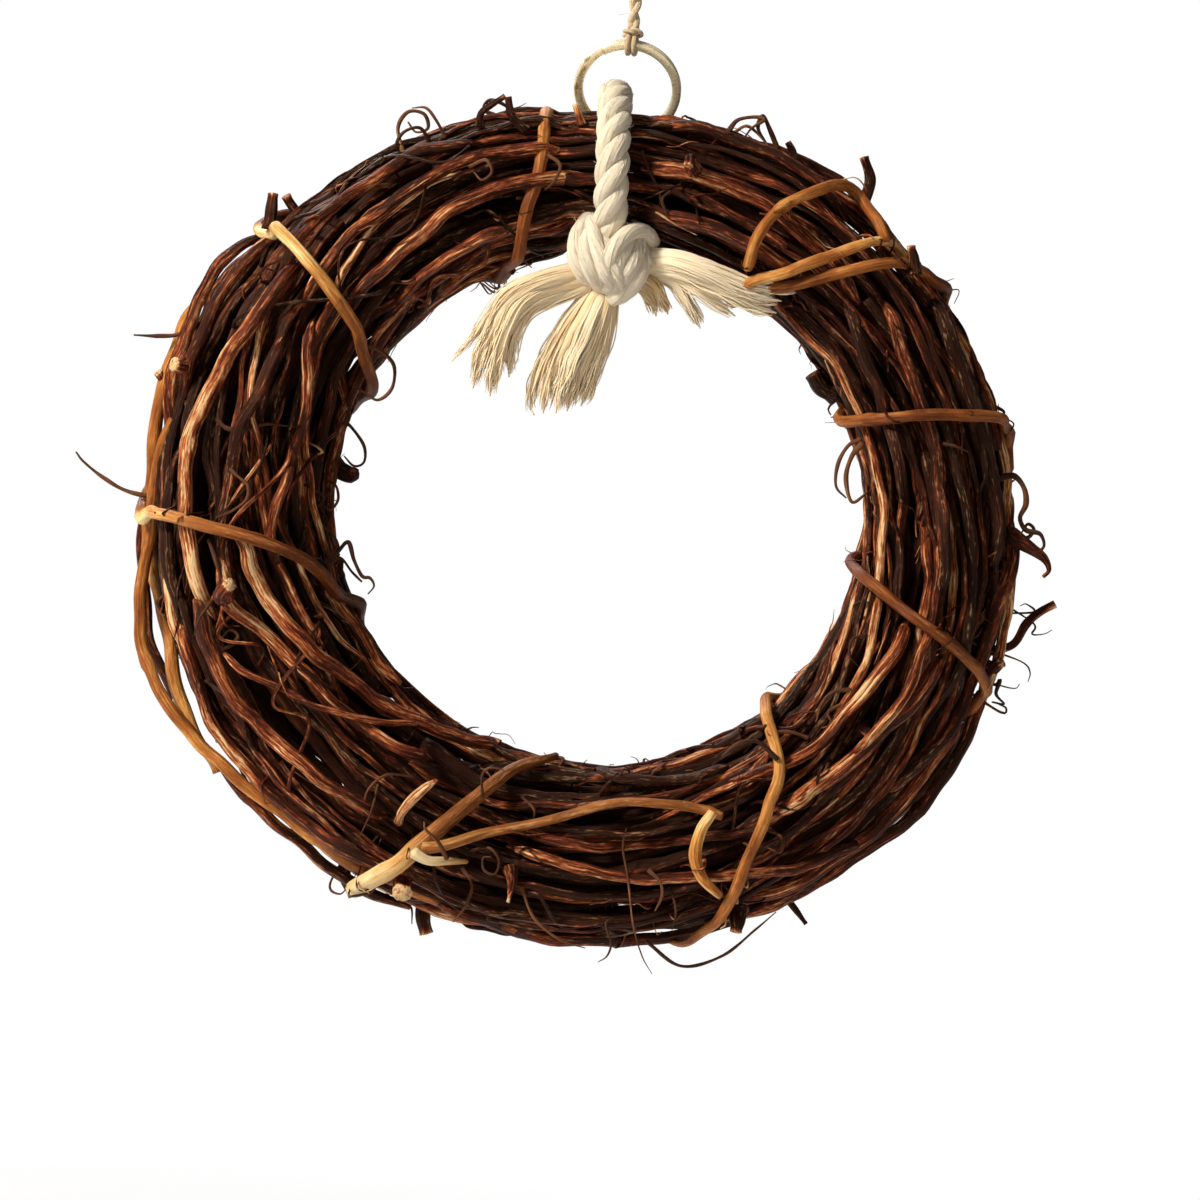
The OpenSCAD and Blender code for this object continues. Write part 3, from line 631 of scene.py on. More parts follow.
def make_twine():
    path = twine_route()
    plied(path, TWINE_D, 2, 9.5, 12, 0.55, yarns=7)
    twine = build.finish("twine", "jute", JUTE, "twine_loop", "twine_stem", body="hanging_cord")
    # The knot: turns that wind round the stem and the loop's legs, and one that crosses them
    turns, r = 2.4, TWINE_D * 0.92
    t = np.linspace(0, 1, 90)
    rise = KNOT_BOTTOM + 1.9 + (KNOT_TOP - KNOT_BOTTOM - 3.6) * t
    wind = np.stack([r * cos(360 * turns * t), r * 0.95 * sin(360 * turns * t), rise], 1)
    plied(wind, TWINE_D * 0.94, 2, 9, 10, 0.5, yarns=6)
    middle = (KNOT_TOP + KNOT_BOTTOM) / 2
    cross = [[-2.2, 1.6, KNOT_BOTTOM + 1.2], [-2.6, -2.2, KNOT_BOTTOM + 2.4]]
    cross += [[-0.4, -4.0, middle - 0.2], [2.2, -2.8, middle + 1.8], [2.4, 1.0, KNOT_TOP - 1.6]]
    plied(smooth_curve(cross, 0.6), TWINE_D * 0.9, 2, 9, 10, 0.62, yarns=6)
    end = raised([(2.4, 0.8, 3), (3.8, -0.6, 2.6), (4.4, -1.0, 1.4)], KNOT_BOTTOM, 0.5)
    plied(end, TWINE_D * 0.8, 2, 8, 8, 0.55)
    knot = build.finish("twine_knot", "jute", JUTE, "twine_loop_knot", body="hanging_cord")
    # The hitch: two turns round the wire and one over them
    wire = WIRE_R + GAP
    strand = TWINE_D * 0.46
    a = np.linspace(0, 360, 40)
    r = wire + strand / 2
    for x in (-0.55, 0.55):
        ring = np.stack([x * strand + 0.25 * sin(a), r * sin(a), HITCH_Z + r * cos(a)], 1)
        build.tube(ring, strand / 2, 10, 0.3)
    top = HITCH_Z + wire + strand * 0.7
    over = [(-1.7, 1.0, -0.2), (-1.9, -0.9, 0.3), (0, -1.9, 0.8), (1.9, -0.8, 0.5)]
    over += [(1.5, 1.2, 0.3), (0, 1.7, 0.9), (-1.2, 0.9, 1.4)]
    plied(raised(over, top, 0.4), TWINE_D * 0.62, 2, 6, 8, 0.3)
    neck = smooth_curve([[0.1, 0, top - 0.6], [0, 0, STEM_BOTTOM + 1.2]], 0.5)
    plied(neck, TWINE_D * 0.96, 2, 9, 10, 0.42, yarns=6)
    hitch = build.finish("twine_hitch_turns", "jute", JUTE, "twine_hitch", body="hanging_cord")
    fibres(path, 4, TWINE_D * 0.42, 0.055, 150, (0.8, 0.4), (1, 2), 0.5)
    loose = build.finish("twine_fibres", "jute", JUTE, body="hanging_cord")
    float(lengths(path)[-1]) * MM


make_twine()

# ---- Metal ring: a split ring of two coils ----


def make_ring():
    lean = np.array(Matrix.Rotation(math.radians(90 + RING_LEAN), 3, "X"))
    turns, n, sides = 1.93, 260, 16
    t = np.linspace(0, 1, n)
    a = 150 + 360 * turns * t
    half = WIRE_R * 0.5
    # Each coil lies on its own side, and the wire steps across in a short stretch
    step = np.clip((t - 0.47) / 0.06, 0, 1)
    height = half * 1.04 * (2 * step * step * (3 - 2 * step) - 1)
    path = np.stack([RING_MEAN_R * cos(a), RING_MEAN_R * sin(a), height], 1) @ lean.T + RING_MID
    # A rounded bar, flat towards the other coil
    b = -around(sides)
    wide = WIRE_R * np.sign(cos(b)) * np.abs(cos(b)) ** 0.8
    tall = half * 0.96 * np.sign(sin(b)) * np.abs(sin(b)) ** 0.6
    rings = path[:, None] + wide[:, None] * unit(path - RING_MID)[:, None]
    rings = rings + tall[:, None] * (lean @ [0, 0, 1])
    across = [np.tile(v, (n, 1)) for v in (wide, tall)]
    build.skin(rings, lengths(path), across, np.full(n, 0.5), [path[0], path[-1]])
    build.finish("split_ring", "ring_metal", BRASS, "metal_ring", body="ring")


make_ring()

# ---- The wound bundle ----


class Relief:
    """Outer surface of the bundle: its radius at each angle round the wreath and direction in
    the cross-section. Canes laid later rest on those laid before."""

    TH, PSI = 0.5, 1.5

    def __init__(self):
        self.top = np.full((int(360 / self.TH), int(360 / self.PSI)), 6.0)

    def near(self, th, psi, r, a):
        """Cells under a ball of radius a, and the squares of its heights over them."""
        a = max(a, 0.6)
        part = []
        for at, step, per in (
            (th, self.TH, math.radians(WREATH_RX + r * float(cos(psi)))),
            (psi, self.PSI, math.radians(r)),
        ):
            reach = int(a / per / step) + 1
            cells = round(at / step) + np.arange(-reach, reach + 1)
            part.append((cells % int(360 / step), (cells * step - at) * per))
        (rows, du), (columns, dv) = part
        return np.ix_(rows, columns), a * a - du[:, None] ** 2 - dv[None, :] ** 2

    def rest(self, th, psi, r, a):
        """Radii at which a cane of half thickness a lies on what is there."""
        out = []
        for spot in zip(th, psi % 360, r, a):
            cells, left = self.near(*spot)
            out.append((self.top[cells] + np.sqrt(np.maximum(left, 0)))[left > 0].max())
        return np.array(out)

    def stamp(self, th, psi, r, a):
        for t, p, q, w in zip(th, psi % 360, r, np.broadcast_to(a, th.shape)):
            cells, left = self.near(t, p, q, w)
            rise = np.where(left > 0, q + np.sqrt(np.maximum(left, 0)), 0)
            self.top[cells] = np.maximum(self.top[cells], rise)


relief = Relief()
CANE_STEP = 1.7
LANE_R, ROUND_R = 92, 90  # radii that turn an angle round the wreath to a length, and back
ROPE_ANGLE = 93.2


def stiffened(values, n):
    """Values that never fall below the given ones and change slowly, over n steps each way."""
    n = max(1, int(n))
    wide = np.pad(values, 2 * n, mode="edge")
    top = np.array([wide[i : i + 2 * n + 1].max() for i in range(len(values) + 2 * n)])
    kernel = np.hanning(2 * n + 3)[1:-1]
    return np.convolve(top, kernel / kernel.sum(), mode="valid")


def squeezed(th, a):
    """The most that a cane's middle may stand off where the rope and the ring press on it."""
    apart = np.abs((th - ROPE_ANGLE + 180) % 360 - 180)
    return TOP_R + 0.1 - a + np.maximum(0, apart - 6.5) * 0.9


def rim(th, psi, a):
    """The most that a cane's middle may stand off at the inner and outer rims."""
    return OUTER_R * spread(th) + VINE_R + 0.8 - 0.8 * a + 5 * sin(psi) ** 2


def bumpy(s, sides, knobs, uneven):
    """Radius factors of a cane: an uneven section that turns slowly, with knuckles and buds."""
    b = around(sides)
    profile = np.ones((len(s), sides))
    for waves, share in ((2, 1.0), (3, 0.8), (5, 0.6), (7, 0.4)):
        turn = rng.uniform(-2.4, 2.4) * s + 25 * sin(s * rng.uniform(2, 6) + rng.uniform(0, 360))
        profile += uneven * share * cos(waves * b[None] + (turn + rng.uniform(0, 360))[:, None])
    swell = 1 + 0.035 * sin(s * rng.uniform(9, 14)) + 0.02 * sin(s * rng.uniform(25, 40))
    profile *= swell[:, None]
    for place, height, towards in knobs:
        near = np.exp(-(((s - place) / 1.9) ** 2))[:, None]
        side = np.maximum(0, cos(b - towards))[None] ** 2
        profile += height * near * (0.55 + 0.75 * side)
    return profile


def knuckles(total, height):
    """Places, heights and directions of a cane's knuckles, at uneven distances."""
    places, at = [], rng.uniform(8, 85)
    while at < total:
        places.append((at, height * rng.uniform(0.6, 1.3), rng.uniform(0, 360)))
        at += rng.uniform(38, 85)
    return places


def kinked(path, amount):
    """The path with small bends of its own, as grown vines have."""
    s = lengths(path)
    for away in carried(path):
        for wave, share in ((61, 0.5), (33, 0.4), (19, 0.26), (11, 0.12)):
            place = 360 * s / (wave * rng.uniform(0.8, 1.2)) + rng.uniform(0, 360)
            path = path + (amount * share * sin(place))[:, None] * away
    return path


def cane(path, r, sides, tone, uneven, height=0.2, taper=None, end=0.2, bend=0.8):
    """A kinked cane with knuckles. taper is its thickness by shares of its length."""
    path = kinked(path, bend)
    s = lengths(path)
    knobs = knuckles(s[-1], height)
    if taper:
        r = r * along(s, *taper)
    tone = tone + 0.05 * sin(s * 3 + rng.uniform(0, 360))
    build.tube(path, r, sides, tone, bumpy(s, sides, knobs, uneven), ends=(end, end))


def laid(th, psi, a, stiff, step=CANE_STEP, gap=0.05, at_rim=True):
    """Radii at which a cane of half thickness a lies on what is there, and its stamp."""
    r = np.full(th.shape, OUTER_R + 4.0)
    for _ in range(2):
        r = relief.rest(th, psi, r, a)
    r = np.minimum(stiffened(r, stiff / step) + gap, squeezed(th, a))
    if at_rim:
        r = np.minimum(r, rim(th, psi, a))
    relief.stamp(th, psi, r, a)
    return r


def wound_canes():
    """The CAD's own vines as canes, with a thinner one beside each of the outer ones."""
    th_step = math.degrees(CANE_STEP / WREATH_RX)
    count = int(3 * 360 / th_step) - int(15 / th_step)
    for k, start in enumerate(INNER_STARTS):
        th = start + np.arange(0, count, 2) * th_step
        psi = k * 360 / INNER_LANES - th / 3 + 3 * sin(1.3 * th + 70 * k)
        r = INNER_R * spread(th)
        cane(on_bundle(th, psi, r), VINE_R * 0.9, 9, 0.42, 0.06)
        relief.stamp(th, psi, r, VINE_R)
        # The inner canes take the core bark: painted shade inside the bundle.
        build.finish(f"inner_canes_{k + 1}", "vine_dark", SHADED_CORE, f"inner_vine_{k + 1}")
    sizes, tones = (0.72, 0.6, 0.74, 0.58, 0.66), (0.38, 0.56, 0.3, 0.66, 0.46)
    for k, start in enumerate(OUTER_STARTS):
        th = start + np.arange(count) * th_step
        slim = 1 - TAPER * (np.arange(count) / count)
        wander = 2.6 * sin(2.3 * th + 80 * k) + 1.6 * sin(5.1 * th + 40 * k)
        psi = lane_psi(th, k) + wander * np.maximum(0.35, freed(th))
        size = VINE_R * sizes[k] * slim
        r = OUTER_R * spread(th) + outer_wave(th, k) + 0.8 * (VINE_R * slim - size)
        r = r + 0.35 * freed(th) * sin(7.3 * th + 100 * k)
        tone = tones[k] + 0.12 * sin(0.9 * th + 60 * k)
        cane(on_bundle(th, psi, r), size, 13, tone, 0.055)
        relief.stamp(th, psi, r, size)
        # A thinner one twines along beside it
        psi = psi + (11 + 4 * sin(3.1 * th + 50 * k)) * np.sign(sin(th / 2.7 + 70 * k) + 0.2)
        psi = np.convolve(np.pad(psi, 20, mode="edge"), np.full(41, 1 / 41), mode="valid")
        size = np.full(th.shape, 0.95 + 0.12 * k)
        path = on_bundle(th, psi, laid(th, psi, size, 10))
        cane(path, size, 9, 0.9 - tone, 0.055, 0.25, bend=0.5)
        build.finish(f"outer_canes_{k + 1}", "vine", VINE, f"outer_vine_{k + 1}")


def core_canes():
    """Thin canes that fill the middle of the bundle and the room between its layers, in the
    near-black core bark: painted shade.
    """
    for k in range(9):
        th = np.arange(0, 361.5, 3.0) + rng.uniform(0, 360)
        psi = 40 * k + 30 * sin(th + 40 * k) + th * rng.choice([-1, 1]) * (k % 3)
        r = (1.4 + 0.45 * k) * spread(th) + 0.8 * sin(3 * th + 50 * k)
        cane(on_bundle(th, psi, r), rng.uniform(1.5, 2.1), 7, 0.3, 0.05)
    for k in range(16):
        th = np.arange(0, rng.uniform(200, 330), 2.2) + rng.uniform(0, 360)
        psi = 22.5 * k + 14 * sin(2 * th + 40 * k) + 0.2 * th
        r = rng.uniform(10.8, 12.4) * (0.3 + 0.7 * spread(th)) * spread(th) ** 0.4
        cane(on_bundle(th, psi, r), rng.uniform(1.2, 1.9), 8, rng.uniform(0.3, 0.75), 0.05)
    build.finish("core_canes", "vine_dark", SHADED_CORE)


def groove_canes():
    """Thinner canes in the grooves of the outer layer. Some drift across it. All have cut ends."""
    for k in range(46):
        span, start, a = rng.uniform(80, 290), rng.uniform(100, 460), rng.uniform(0.6, 1.4)
        n = int(math.radians(span) * LANE_R / CANE_STEP)
        u = np.linspace(0, 1, n)
        th = start + np.linspace(0, span, n)
        drift = rng.uniform(-60, 70) if k % 3 == 0 else rng.uniform(-8, 8)
        psi = lane_psi(th, k / 2 + 0.5 + rng.uniform(-0.1, 0.1))
        psi = psi + drift * u + 4 * sin(th * rng.uniform(1, 3))
        size = a * np.interp(u, [0, 0.06, 0.9, 1], [0.6, 1, 0.8, 0.45])
        tuck = 2 * a * np.maximum(0, 1 - n * np.minimum(u, 1 - u) / 5) ** 2
        path = on_bundle(th, psi, laid(th, psi, size, 12) - tuck)
        tone = rng.uniform(0.2, 0.78) + 0.1 * sin(th * 1.3)
        cane(path, size, 10, tone, 0.05, 0.24)
    build.finish("wound_thin_canes", "vine", VINE)


wound_canes()
core_canes()
groove_canes()

# ---- Canes by the photograph's pixels ----


def photo_path(points, a, step=CANE_STEP, stiff=7.0, tuck=0.0):
    """Path of a cane drawn over the front of the bundle, and its thickness. A point's third
    number lifts it off the surface. Past the bundle's outline it stays in the air."""
    round_mm = math.radians(1) * WREATH_RX
    spots = np.array([[*photo_spot(px, py)[:2], lift] for px, py, lift in points])
    spots[:, 0] = np.degrees(np.unwrap(np.radians(spots[:, 0])))
    line = curve(spots * [round_mm, 1, 1], step)
    th, off, lift = line[:, 0] / round_mm, line[:, 1], line[:, 2]
    a = np.atleast_1d(a)
    size = np.interp(np.linspace(0, 1, len(th)), np.linspace(0, 1, len(a)), a)
    r = np.full(th.shape, OUTER_R + 5.0)
    for _ in range(3):
        r = relief.rest(th, facing(off, r), r, size)
    r = stiffened(r, stiff / step) + 0.05
    s = lengths(line)
    for from_end in (s, s[-1] - s):
        r = r - tuck * np.maximum(0, 1 - from_end / 9) ** 2
    r = np.minimum(r, squeezed(th, size))
    relief.stamp(th, facing(off, r), np.maximum(r, np.abs(off)), size)
    y = -np.sqrt(np.maximum(r * r - off * off, 0)) - lift
    return mid(th) + off[:, None] * outward(th) + y[:, None] * [0, 1, 0], size


# Canes that stand out in the photograph: half thickness and tones, then pixels
FRONT_CANES = {
    # The first cane's tones rise to 0.9 where it runs down the bundle's left edge: painted light
    # from the lamp on the left.
    "left": """
2 0.6 0.72 0.82 0.9 0.82: 306,258 284,284 262,311 244,336 222,368 204,399 195,432 190,457 188,488
  189,534 197,575 212,620;
1.44 0.6: 314,318 309,381 304,427 293,452 283,483 276,520 280,570;
1.76 0.45: 285,330 262,390 240,440 228,500 226,560 236,620;
2.16 0.78: 236,530 247,547 253,572 273,605 304,639 324,662 365,692 401,713 450,733 500,745;
1.76 0.72: 222,560 230,598 242,611 268,634 290,660 330,700 380,735 430,760;
2.08 0.63: 196,600 210,650 240,700 280,745 330,785 390,820;
0.96 0.68: 225,654 247,674 286,692 329,710 375,720 420,722;
1.84 0.68: 180,620 200,690 235,750 280,800 330,840 400,878;
""",
    "bottom": """
1.44 0.6: 509,848 553,860 617,876 681,879 745,873 830,856 880,830;
1.84 0.52: 435,900 489,925 553,937 617,940 681,936 740,920;
1.36 0.58: 528,834 601,848 649,846 713,838 754,825 800,800;
1.5 0.35: 600,772 640,778 690,776 730,768;
""",
    "right": """
2.08 0.8: 939,655 917,695 881,731 852,760 815,790 770,815;
1.76 0.78: 905,622 896,654 857,702 820,739 780,765 730,785;
1.36 0.76: 945,540 939,557 930,622 915,671 890,715 850,755;
1.6 0.68: 1008,500 1010,562 1000,598 985,651 965,700 930,750 890,795;
1.76 0.62: 885,300 905,360 925,420 938,480 944,540 940,600;
1.52 0.5: 845,300 868,360 888,420 900,490 903,560;
1.92 0.42: 930,300 962,370 985,440 995,510 994,570;
""",
    "top": """
1.92 0.6: 640,165 700,175 760,205 815,245 860,300;
2.08 0.62: 640,215 700,225 760,250 800,275;
1.6 0.58: 620,128 700,128 760,150 810,180 850,220;
1.92 0.72: 590,175 540,180 480,195 430,225 390,260 350,310;
1.68 0.56: 590,215 540,222 480,240 430,270 395,305;
1.68 0.64: 560,150 500,152 440,172 390,205 340,250 300,305;
1.52 0.6: 480,145 430,150 370,180 320,220 280,275;
""",
}
# The same on the back: angle round the wreath and direction in the cross-section at both ends
BACK_CANES = [
    (102, 262, 123, 255), (135, 268, 165, 262), (136, 296, 164, 302), (177, 255, 228, 284),
    (178, 288, 226, 318), (234, 262, 278, 240), (236, 292, 280, 274), (286, 250, 314, 262),
    (285, 284, 315, 292), (330, 262, 356, 250), (9, 292, 27, 300), (39, 258, 80, 268),
    (40, 288, 78, 298),
]


def front_canes():
    for place, table in FRONT_CANES.items():
        for points, a, *tones in drawn(table):
            path, size = photo_path(points, a, tuck=a * 2.4)
            spots = np.linspace(0, 1, len(path))
            tone = np.interp(spots, np.linspace(0, 1, len(tones)), tones)
            # The canes on the right lose 0.16 of tone and the others 0.02. On the right this is
            # painted shade, on the bundle's side away from the lamp on the left.
            tone = tone - (0.16 if place == "right" else 0.02)
            tone = tone + 0.07 * sin(lengths(path) * 2.2 + rng.uniform(0, 360))
            cane(path, size, 12, tone, 0.055, 0.24, ((0, 0.08, 0.92, 1), (0.5, 1, 0.9, 0.4)))
        build.finish(f"laid_canes_{place}", "vine", VINE, f"laid_vines_{place}")
    for k, (th_from, psi_from, th_to, psi_to) in enumerate(BACK_CANES):
        u = np.linspace(-0.05, 1.05, int(math.radians(th_to - th_from + 8) * LANE_R / CANE_STEP))
        th = th_from + (th_to - th_from) * u
        psi = psi_from + (psi_to - psi_from) * u + 4 * sin(180 * u) * (1 - 2 * (k % 2))
        a = 1.9 * (1 - 0.15 * (k % 3))
        path = on_bundle(th, psi, laid(th, psi, np.full(th.shape, a), 8))
        cane(path, a, 12, rng.uniform(0.4, 0.7), 0.05, 0.24)
    build.finish("laid_canes_back", "vine", VINE, "laid_vines_back")


def runners():
    """Thin runners that wander over the canes."""
    for _ in range(44):
        n, span = 60, rng.uniform(20, 60)
        u = np.linspace(0, 1, n)
        th = rng.uniform(100, 445) + np.degrees(span / ROUND_R) * u
        psi = rng.uniform(-20, 200) + rng.uniform(-70, 70) * u
        psi = psi + rng.uniform(4, 14) * sin(rng.uniform(200, 700) * u)
        a = rng.uniform(0.3, 0.6)
        r = laid(th, psi, np.full(n, a), 4, span / n) + 0.6 * sin(rng.uniform(300, 900) * u) ** 2
        r = np.minimum(r, squeezed(th, a)) - 1.2 * np.maximum(0, 1 - 12 * np.minimum(u, 1 - u))
        build.tube(on_bundle(th, psi, r), a, 6, rng.uniform(0.15, 0.75))
    build.finish("thin_runners", "vine", VINE)


# Canes that stand off the bundle: half thickness and tone, then pixels with the distance in
# front of the wreath's middle plane
BOWED = """
1.8 0.62: 205,300,6 184,330,4 163,389,2 154,437 151,488,-1 151,534,-1 156,585 168,641,2 180,690,5
  196,728,7 222,770,8;
1.65 0.52: 176,420,10 162,460,8 152,514,6 147,560,5 143,605,5 145,649,6 153,669,7 168,697,8
  188,729,10 215,757,12 250,784,13 307,826,14 363,862,15 400,882,15 440,900,14;
"""
LOOSE = """
1.5 0.72: 318,578,10 332,592,10 349,616,9 366,645,8 382,668,8 402,684,10;
1.7 0.82: 173,500,12 171,560,12 177,598,13 184,631,14 200,662,16;
1.6 0.62: 264,236,3 243,250,4 222,268,5 204,296,6 187,334,7 175,378,8 172,430,9 178,500,10;
1.6 0.4: 268,238,-5 246,253,-7 226,273,-8 205,306,-8 188,348,-8 176,395,-7 172,450,-5;
1.7 0.56: 280,240,9 262,254,11 240,276,12 216,308,12 200,350,12 190,400,11;
1.4 0.5: 148,480,-6 141,540,-8 142,600,-8 150,650,-7 170,700,-5;
1.5 0.5: 222,768,2 262,812,3 310,850,3 360,884,3 410,908,3;
1.4 0.55: 880,235,-2 905,262 935,305,2 965,355,3 990,410,2;
1.3 0.78: 1000,470,2 1010,540,3 1009,600,3 998,655,3 982,700,3;
1.2 0.5: 760,142,-3 800,158,-2 838,182,-1 870,215;
1.7 0.5: 985,668 981,700,1 962,745,2 932,790,3 897,826,3 858,857,4 812,885,4 765,905,4 705,922,6;
1.8 0.62: 960,700,5 938,752,7 905,795,8 868,832,8 824,863,8 775,888,8 720,905,9;
1.9 0.35: 975,690,-9 955,742,-8 920,790,-8 880,830,-8 835,862,-8 780,890,-8 720,915,-8;
"""


def loose_canes():
    """The two canes that bow out on the left, and thinner ones beside them."""
    # The bowed canes take the paler binder bark: partly their own golden colour, partly painted
    # light from the lamp on the left.
    for k, (points, a, tone) in enumerate(drawn(BOWED)):
        taper = ((0, 0.15, 0.85, 1), (0.75, 1, 1, 0.7))
        cane(curve(in_space(points), CANE_STEP), a, 12, tone, 0.05, 0.26, taper)
        build.finish(f"bowed_cane_{k + 1}", "vine", BINDER, f"bowed_vine_{k + 1}")
    for points, a, tone in drawn(LOOSE):
        taper = ((0, 0.15, 0.85, 1), (0.6, 1, 1, 0.5))
        cane(curve(in_space(points), CANE_STEP), a, 10, tone, 0.05, 0.24, taper)
    build.finish("loose_thin_canes", "vine", VINE)


front_canes()
runners()
loose_canes()

# ---- Bindings ----

BINDER_R = 1.65
TURN_R, PSI_MM, TH_MM = 22, 0.38, 1.55  # a wrap's radius, and lengths for a degree of each angle
# Tones by direction in the cross-section, which grows by 360 with each wrap. The left wrap is
# lightest just past each turn over the outer edge, a painted highlight from the lamp on the left,
# and darkest round the inner rim. The right wrap is darker after its first crossing, where it
# runs over the bundle's right side: painted shade.
TONES = {
    "right": ((0, 200, 360, 560, 720, 900, 1080), (0.6, 0.55, 0.3, 0.34, 0.42, 0.4, 0.38)),
    "left": (
        (0, 60, 110, 180, 300, 364, 376, 405, 432, 465, 540, 660, 725, 737, 762, 795, 830, 880),
        (0.72, 0.58, 0.4, 0.2, 0.3, 0.36, 0.95, 0.9, 0.74, 0.48, 0.12, 0.3, 0.36, 0.96, 0.85, 0.56,
         0.38, 0.1),
    ),
    "top": ((0, 180), (0.6, 0.7)),
}


def wrap(table, a, tone, tight, start):
    """A binding: its angle round the wreath at directions that grow by 360 for each wrap."""
    stiff, step = 5.0, 1.2
    total = math.radians(table[-1][0] - table[0][0]) * TURN_R
    psi = np.linspace(table[0][0], table[-1][0], int(total / step))
    points = smooth_curve(np.array([[p * PSI_MM, t * TH_MM] for p, t in table]), 0.6)
    th = np.interp(psi, points[:, 0] / PSI_MM, points[:, 1] / TH_MM)
    size = np.full(psi.shape, a)
    r = laid(th, psi, size, stiff, step, 0.1, at_rim=False)

    def hump(place, width):
        """1 at a direction, and towards 0 away from it."""
        return np.exp(-((((psi - place + 180) % 360 - 180) / width) ** 2))

    # Pulled tight round the inner rim, and for most of them round the outer one
    tight_here = tight * np.where(psi > 150, 1, start)
    inner = np.exp(-(((psi % 360 - 195) / 40) ** 2))
    free = 1 - inner - tight_here * hump(-10, 36)
    r = np.minimum(r, OUTER_R * spread(th) + VINE_R - 0.3 + 0.6 * a + 9 * np.maximum(0, free))
    r = r + (1 - tight) * 1.6 * hump(0, 30) * (psi > 200)
    at = np.arange(len(psi)) * step
    r = r - tight * 2.5 * np.maximum(0, 1 - at / 8) ** 2
    ends = np.interp(at, [0, 5, 16], [0.8 - 0.4 * tight, 1 - 0.3 * tight, 1])
    tone = np.interp(psi, *tone)
    cane(on_bundle(th, psi, r), size * ends, 12, tone, 0.025, 0.14, end=0.15, bend=0.25)


def joined(*crossings):
    """One table for a binding: a crossing for each wrap, by pixels from its outer end to its
    inner one, and a point halfway round the back between two of them."""
    table = []
    for turn, text in enumerate(crossings):
        for px, py, _ in pixels(text):
            th, _, psi = photo_spot(px, py, BINDER_R)
            psi, th = 360 * turn + psi, th % 360
            if table:
                th += 360 * round((table[-1][1] - th) / 360)
                if psi - table[-1][0] > 120:
                    table.append(((psi + table[-1][0]) / 2, (th + table[-1][1]) / 2))
            table.append((psi, th))
    return table


def bindings():
    tables = {
        "right": joined(
            "652,948 668,944 706,918 741,863 767,809 780,752",
            "990,727 995,712 978,683 944,642 905,610 869,576",
            "1014,466 1015,450 1002,431 966,419 905,416 836,417",
            "938,290 918,277 884,270 838,274 794,282 768,281 756,279",
        ),
        "left": joined(
            "545,108 543,135 538,179 522,219 504,268",
            "268,228 290,240 325,282 350,322 357,345",
            "141,508 165,512 197,519 260,544 314,577 332,591",
        ),
        "top": joined("909,262 895,252 872,249 838,255 792,268 752,275"),
    }
    tables["left"] = [(-25, 101), *tables["left"], (900, 208), (950, 215)]
    for place, table in tables.items():
        psi, th = table[-1]
        tight = place != "left"
        if tight:
            table += [(psi + 50, th), (psi + 110, th)]
        a = BINDER_R * (0.9 if tight else 1)
        wrap(table, a, TONES[place], tight, 0.25 if place == "right" else 1)
        name, node = f"binding_cane_{place}", f"binding_vine_{place}"
        build.finish(name, "binding", BINDER, node)
    arch = pixels("746,268 757,243 770,222 786,206 808,193 833,186 854,196 870,216 886,243")
    path, size = photo_path(arch, 1.45, 1.2, 6, tuck=2.0)
    cane(path, size, 12, 0.55, 0.03, 0.3)
    build.finish("binding_arch", "binding", BINDER)


bindings()

# ---- Pale twig, shoot, stubs and tendrils ----


def twig():
    main = pixels("357,886 375,876 400,862 420,844 458,812 496,781 521,765 556,755")
    path, size = photo_path(main, [2.3, 2.2, 2.4, 1.95, 1.75, 1.65, 1.4, 0.9], 1.0, 8)
    share = np.linspace(0, 1, len(path))
    tone = np.interp(share, [0, 0.16, 0.3, 0.42, 0.7, 1], [0.95, 0.8, 0.42, 0.24, 0.13, 0.0])
    profile = bumpy(lengths(path), 14, [(15, 0.16, 40), (34, 0.12, 200)], 0.03)
    build.tube(path, size, 14, tone, profile, ends=(0.05, 0.4))
    branch = pixels("424,846 440,845 489,832 553,819 601,805 633,801 674,804 700,809 722,816")
    path, size = photo_path(branch, [1.5, 1.3, 1.25, 1.2, 1.15, 1.1, 1.15, 1.3, 1.1], 1.0, 8)
    s = lengths(path)
    tone = along(s, [0, 0.1, 0.5, 1], [0.45, 0.26, 0.2, 0.3])
    profile = bumpy(s, 12, [(s[-1] * 0.55, 0.1, 0), (s[-1] * 0.96, 0.3, 90)], 0.03)
    build.tube(path, size, 12, tone, profile)
    prong = pixels("415,850 430,858 448,859 467,861")
    path, size = photo_path(prong, [2.2, 1.7, 1.5, 0.7], 0.8, 6)
    build.tube(path, size, 10, np.linspace(0.9, 0.6, len(path)), squash=0.7)
    build.finish("forked_twig_pale", "twig", TWIG, "forked_twig")
    shoot = pixels("713,812 701,829 695,852 701,876 719,894")
    path, size = photo_path(shoot, [1.3, 1.5, 1.6, 1.5, 1.0], 0.8, 5)
    cane(path, size, 12, 0.7, 0.03, 0.1, bend=0.2)
    build.finish("curved_shoot", "binding", BINDER, "front_shoot")


def grown(points):
    """Path of a small shoot or tendril: the first point is on the bundle, and a point's third
    number is how far the path stands in front of its root by there."""
    th, off, _ = photo_spot(*points[0][:2])
    r = OUTER_R + 5.0
    for _ in range(3):
        r = relief.rest(*np.array([[th], [facing(off, r)], [r], [0.9]]))[0]
    r -= 0.8
    off = max(-r, min(r, off))
    root = mid(th) + off * outward(th) - [0, math.sqrt(max(0, r * r - off * off)), 0]
    path = [root]
    for px, py, front in points[1:]:
        y = root[1] - front
        x, z = photo_xz(px, py, -y)
        path.append([x, y, z])
    return smooth_curve(path, 0.5)


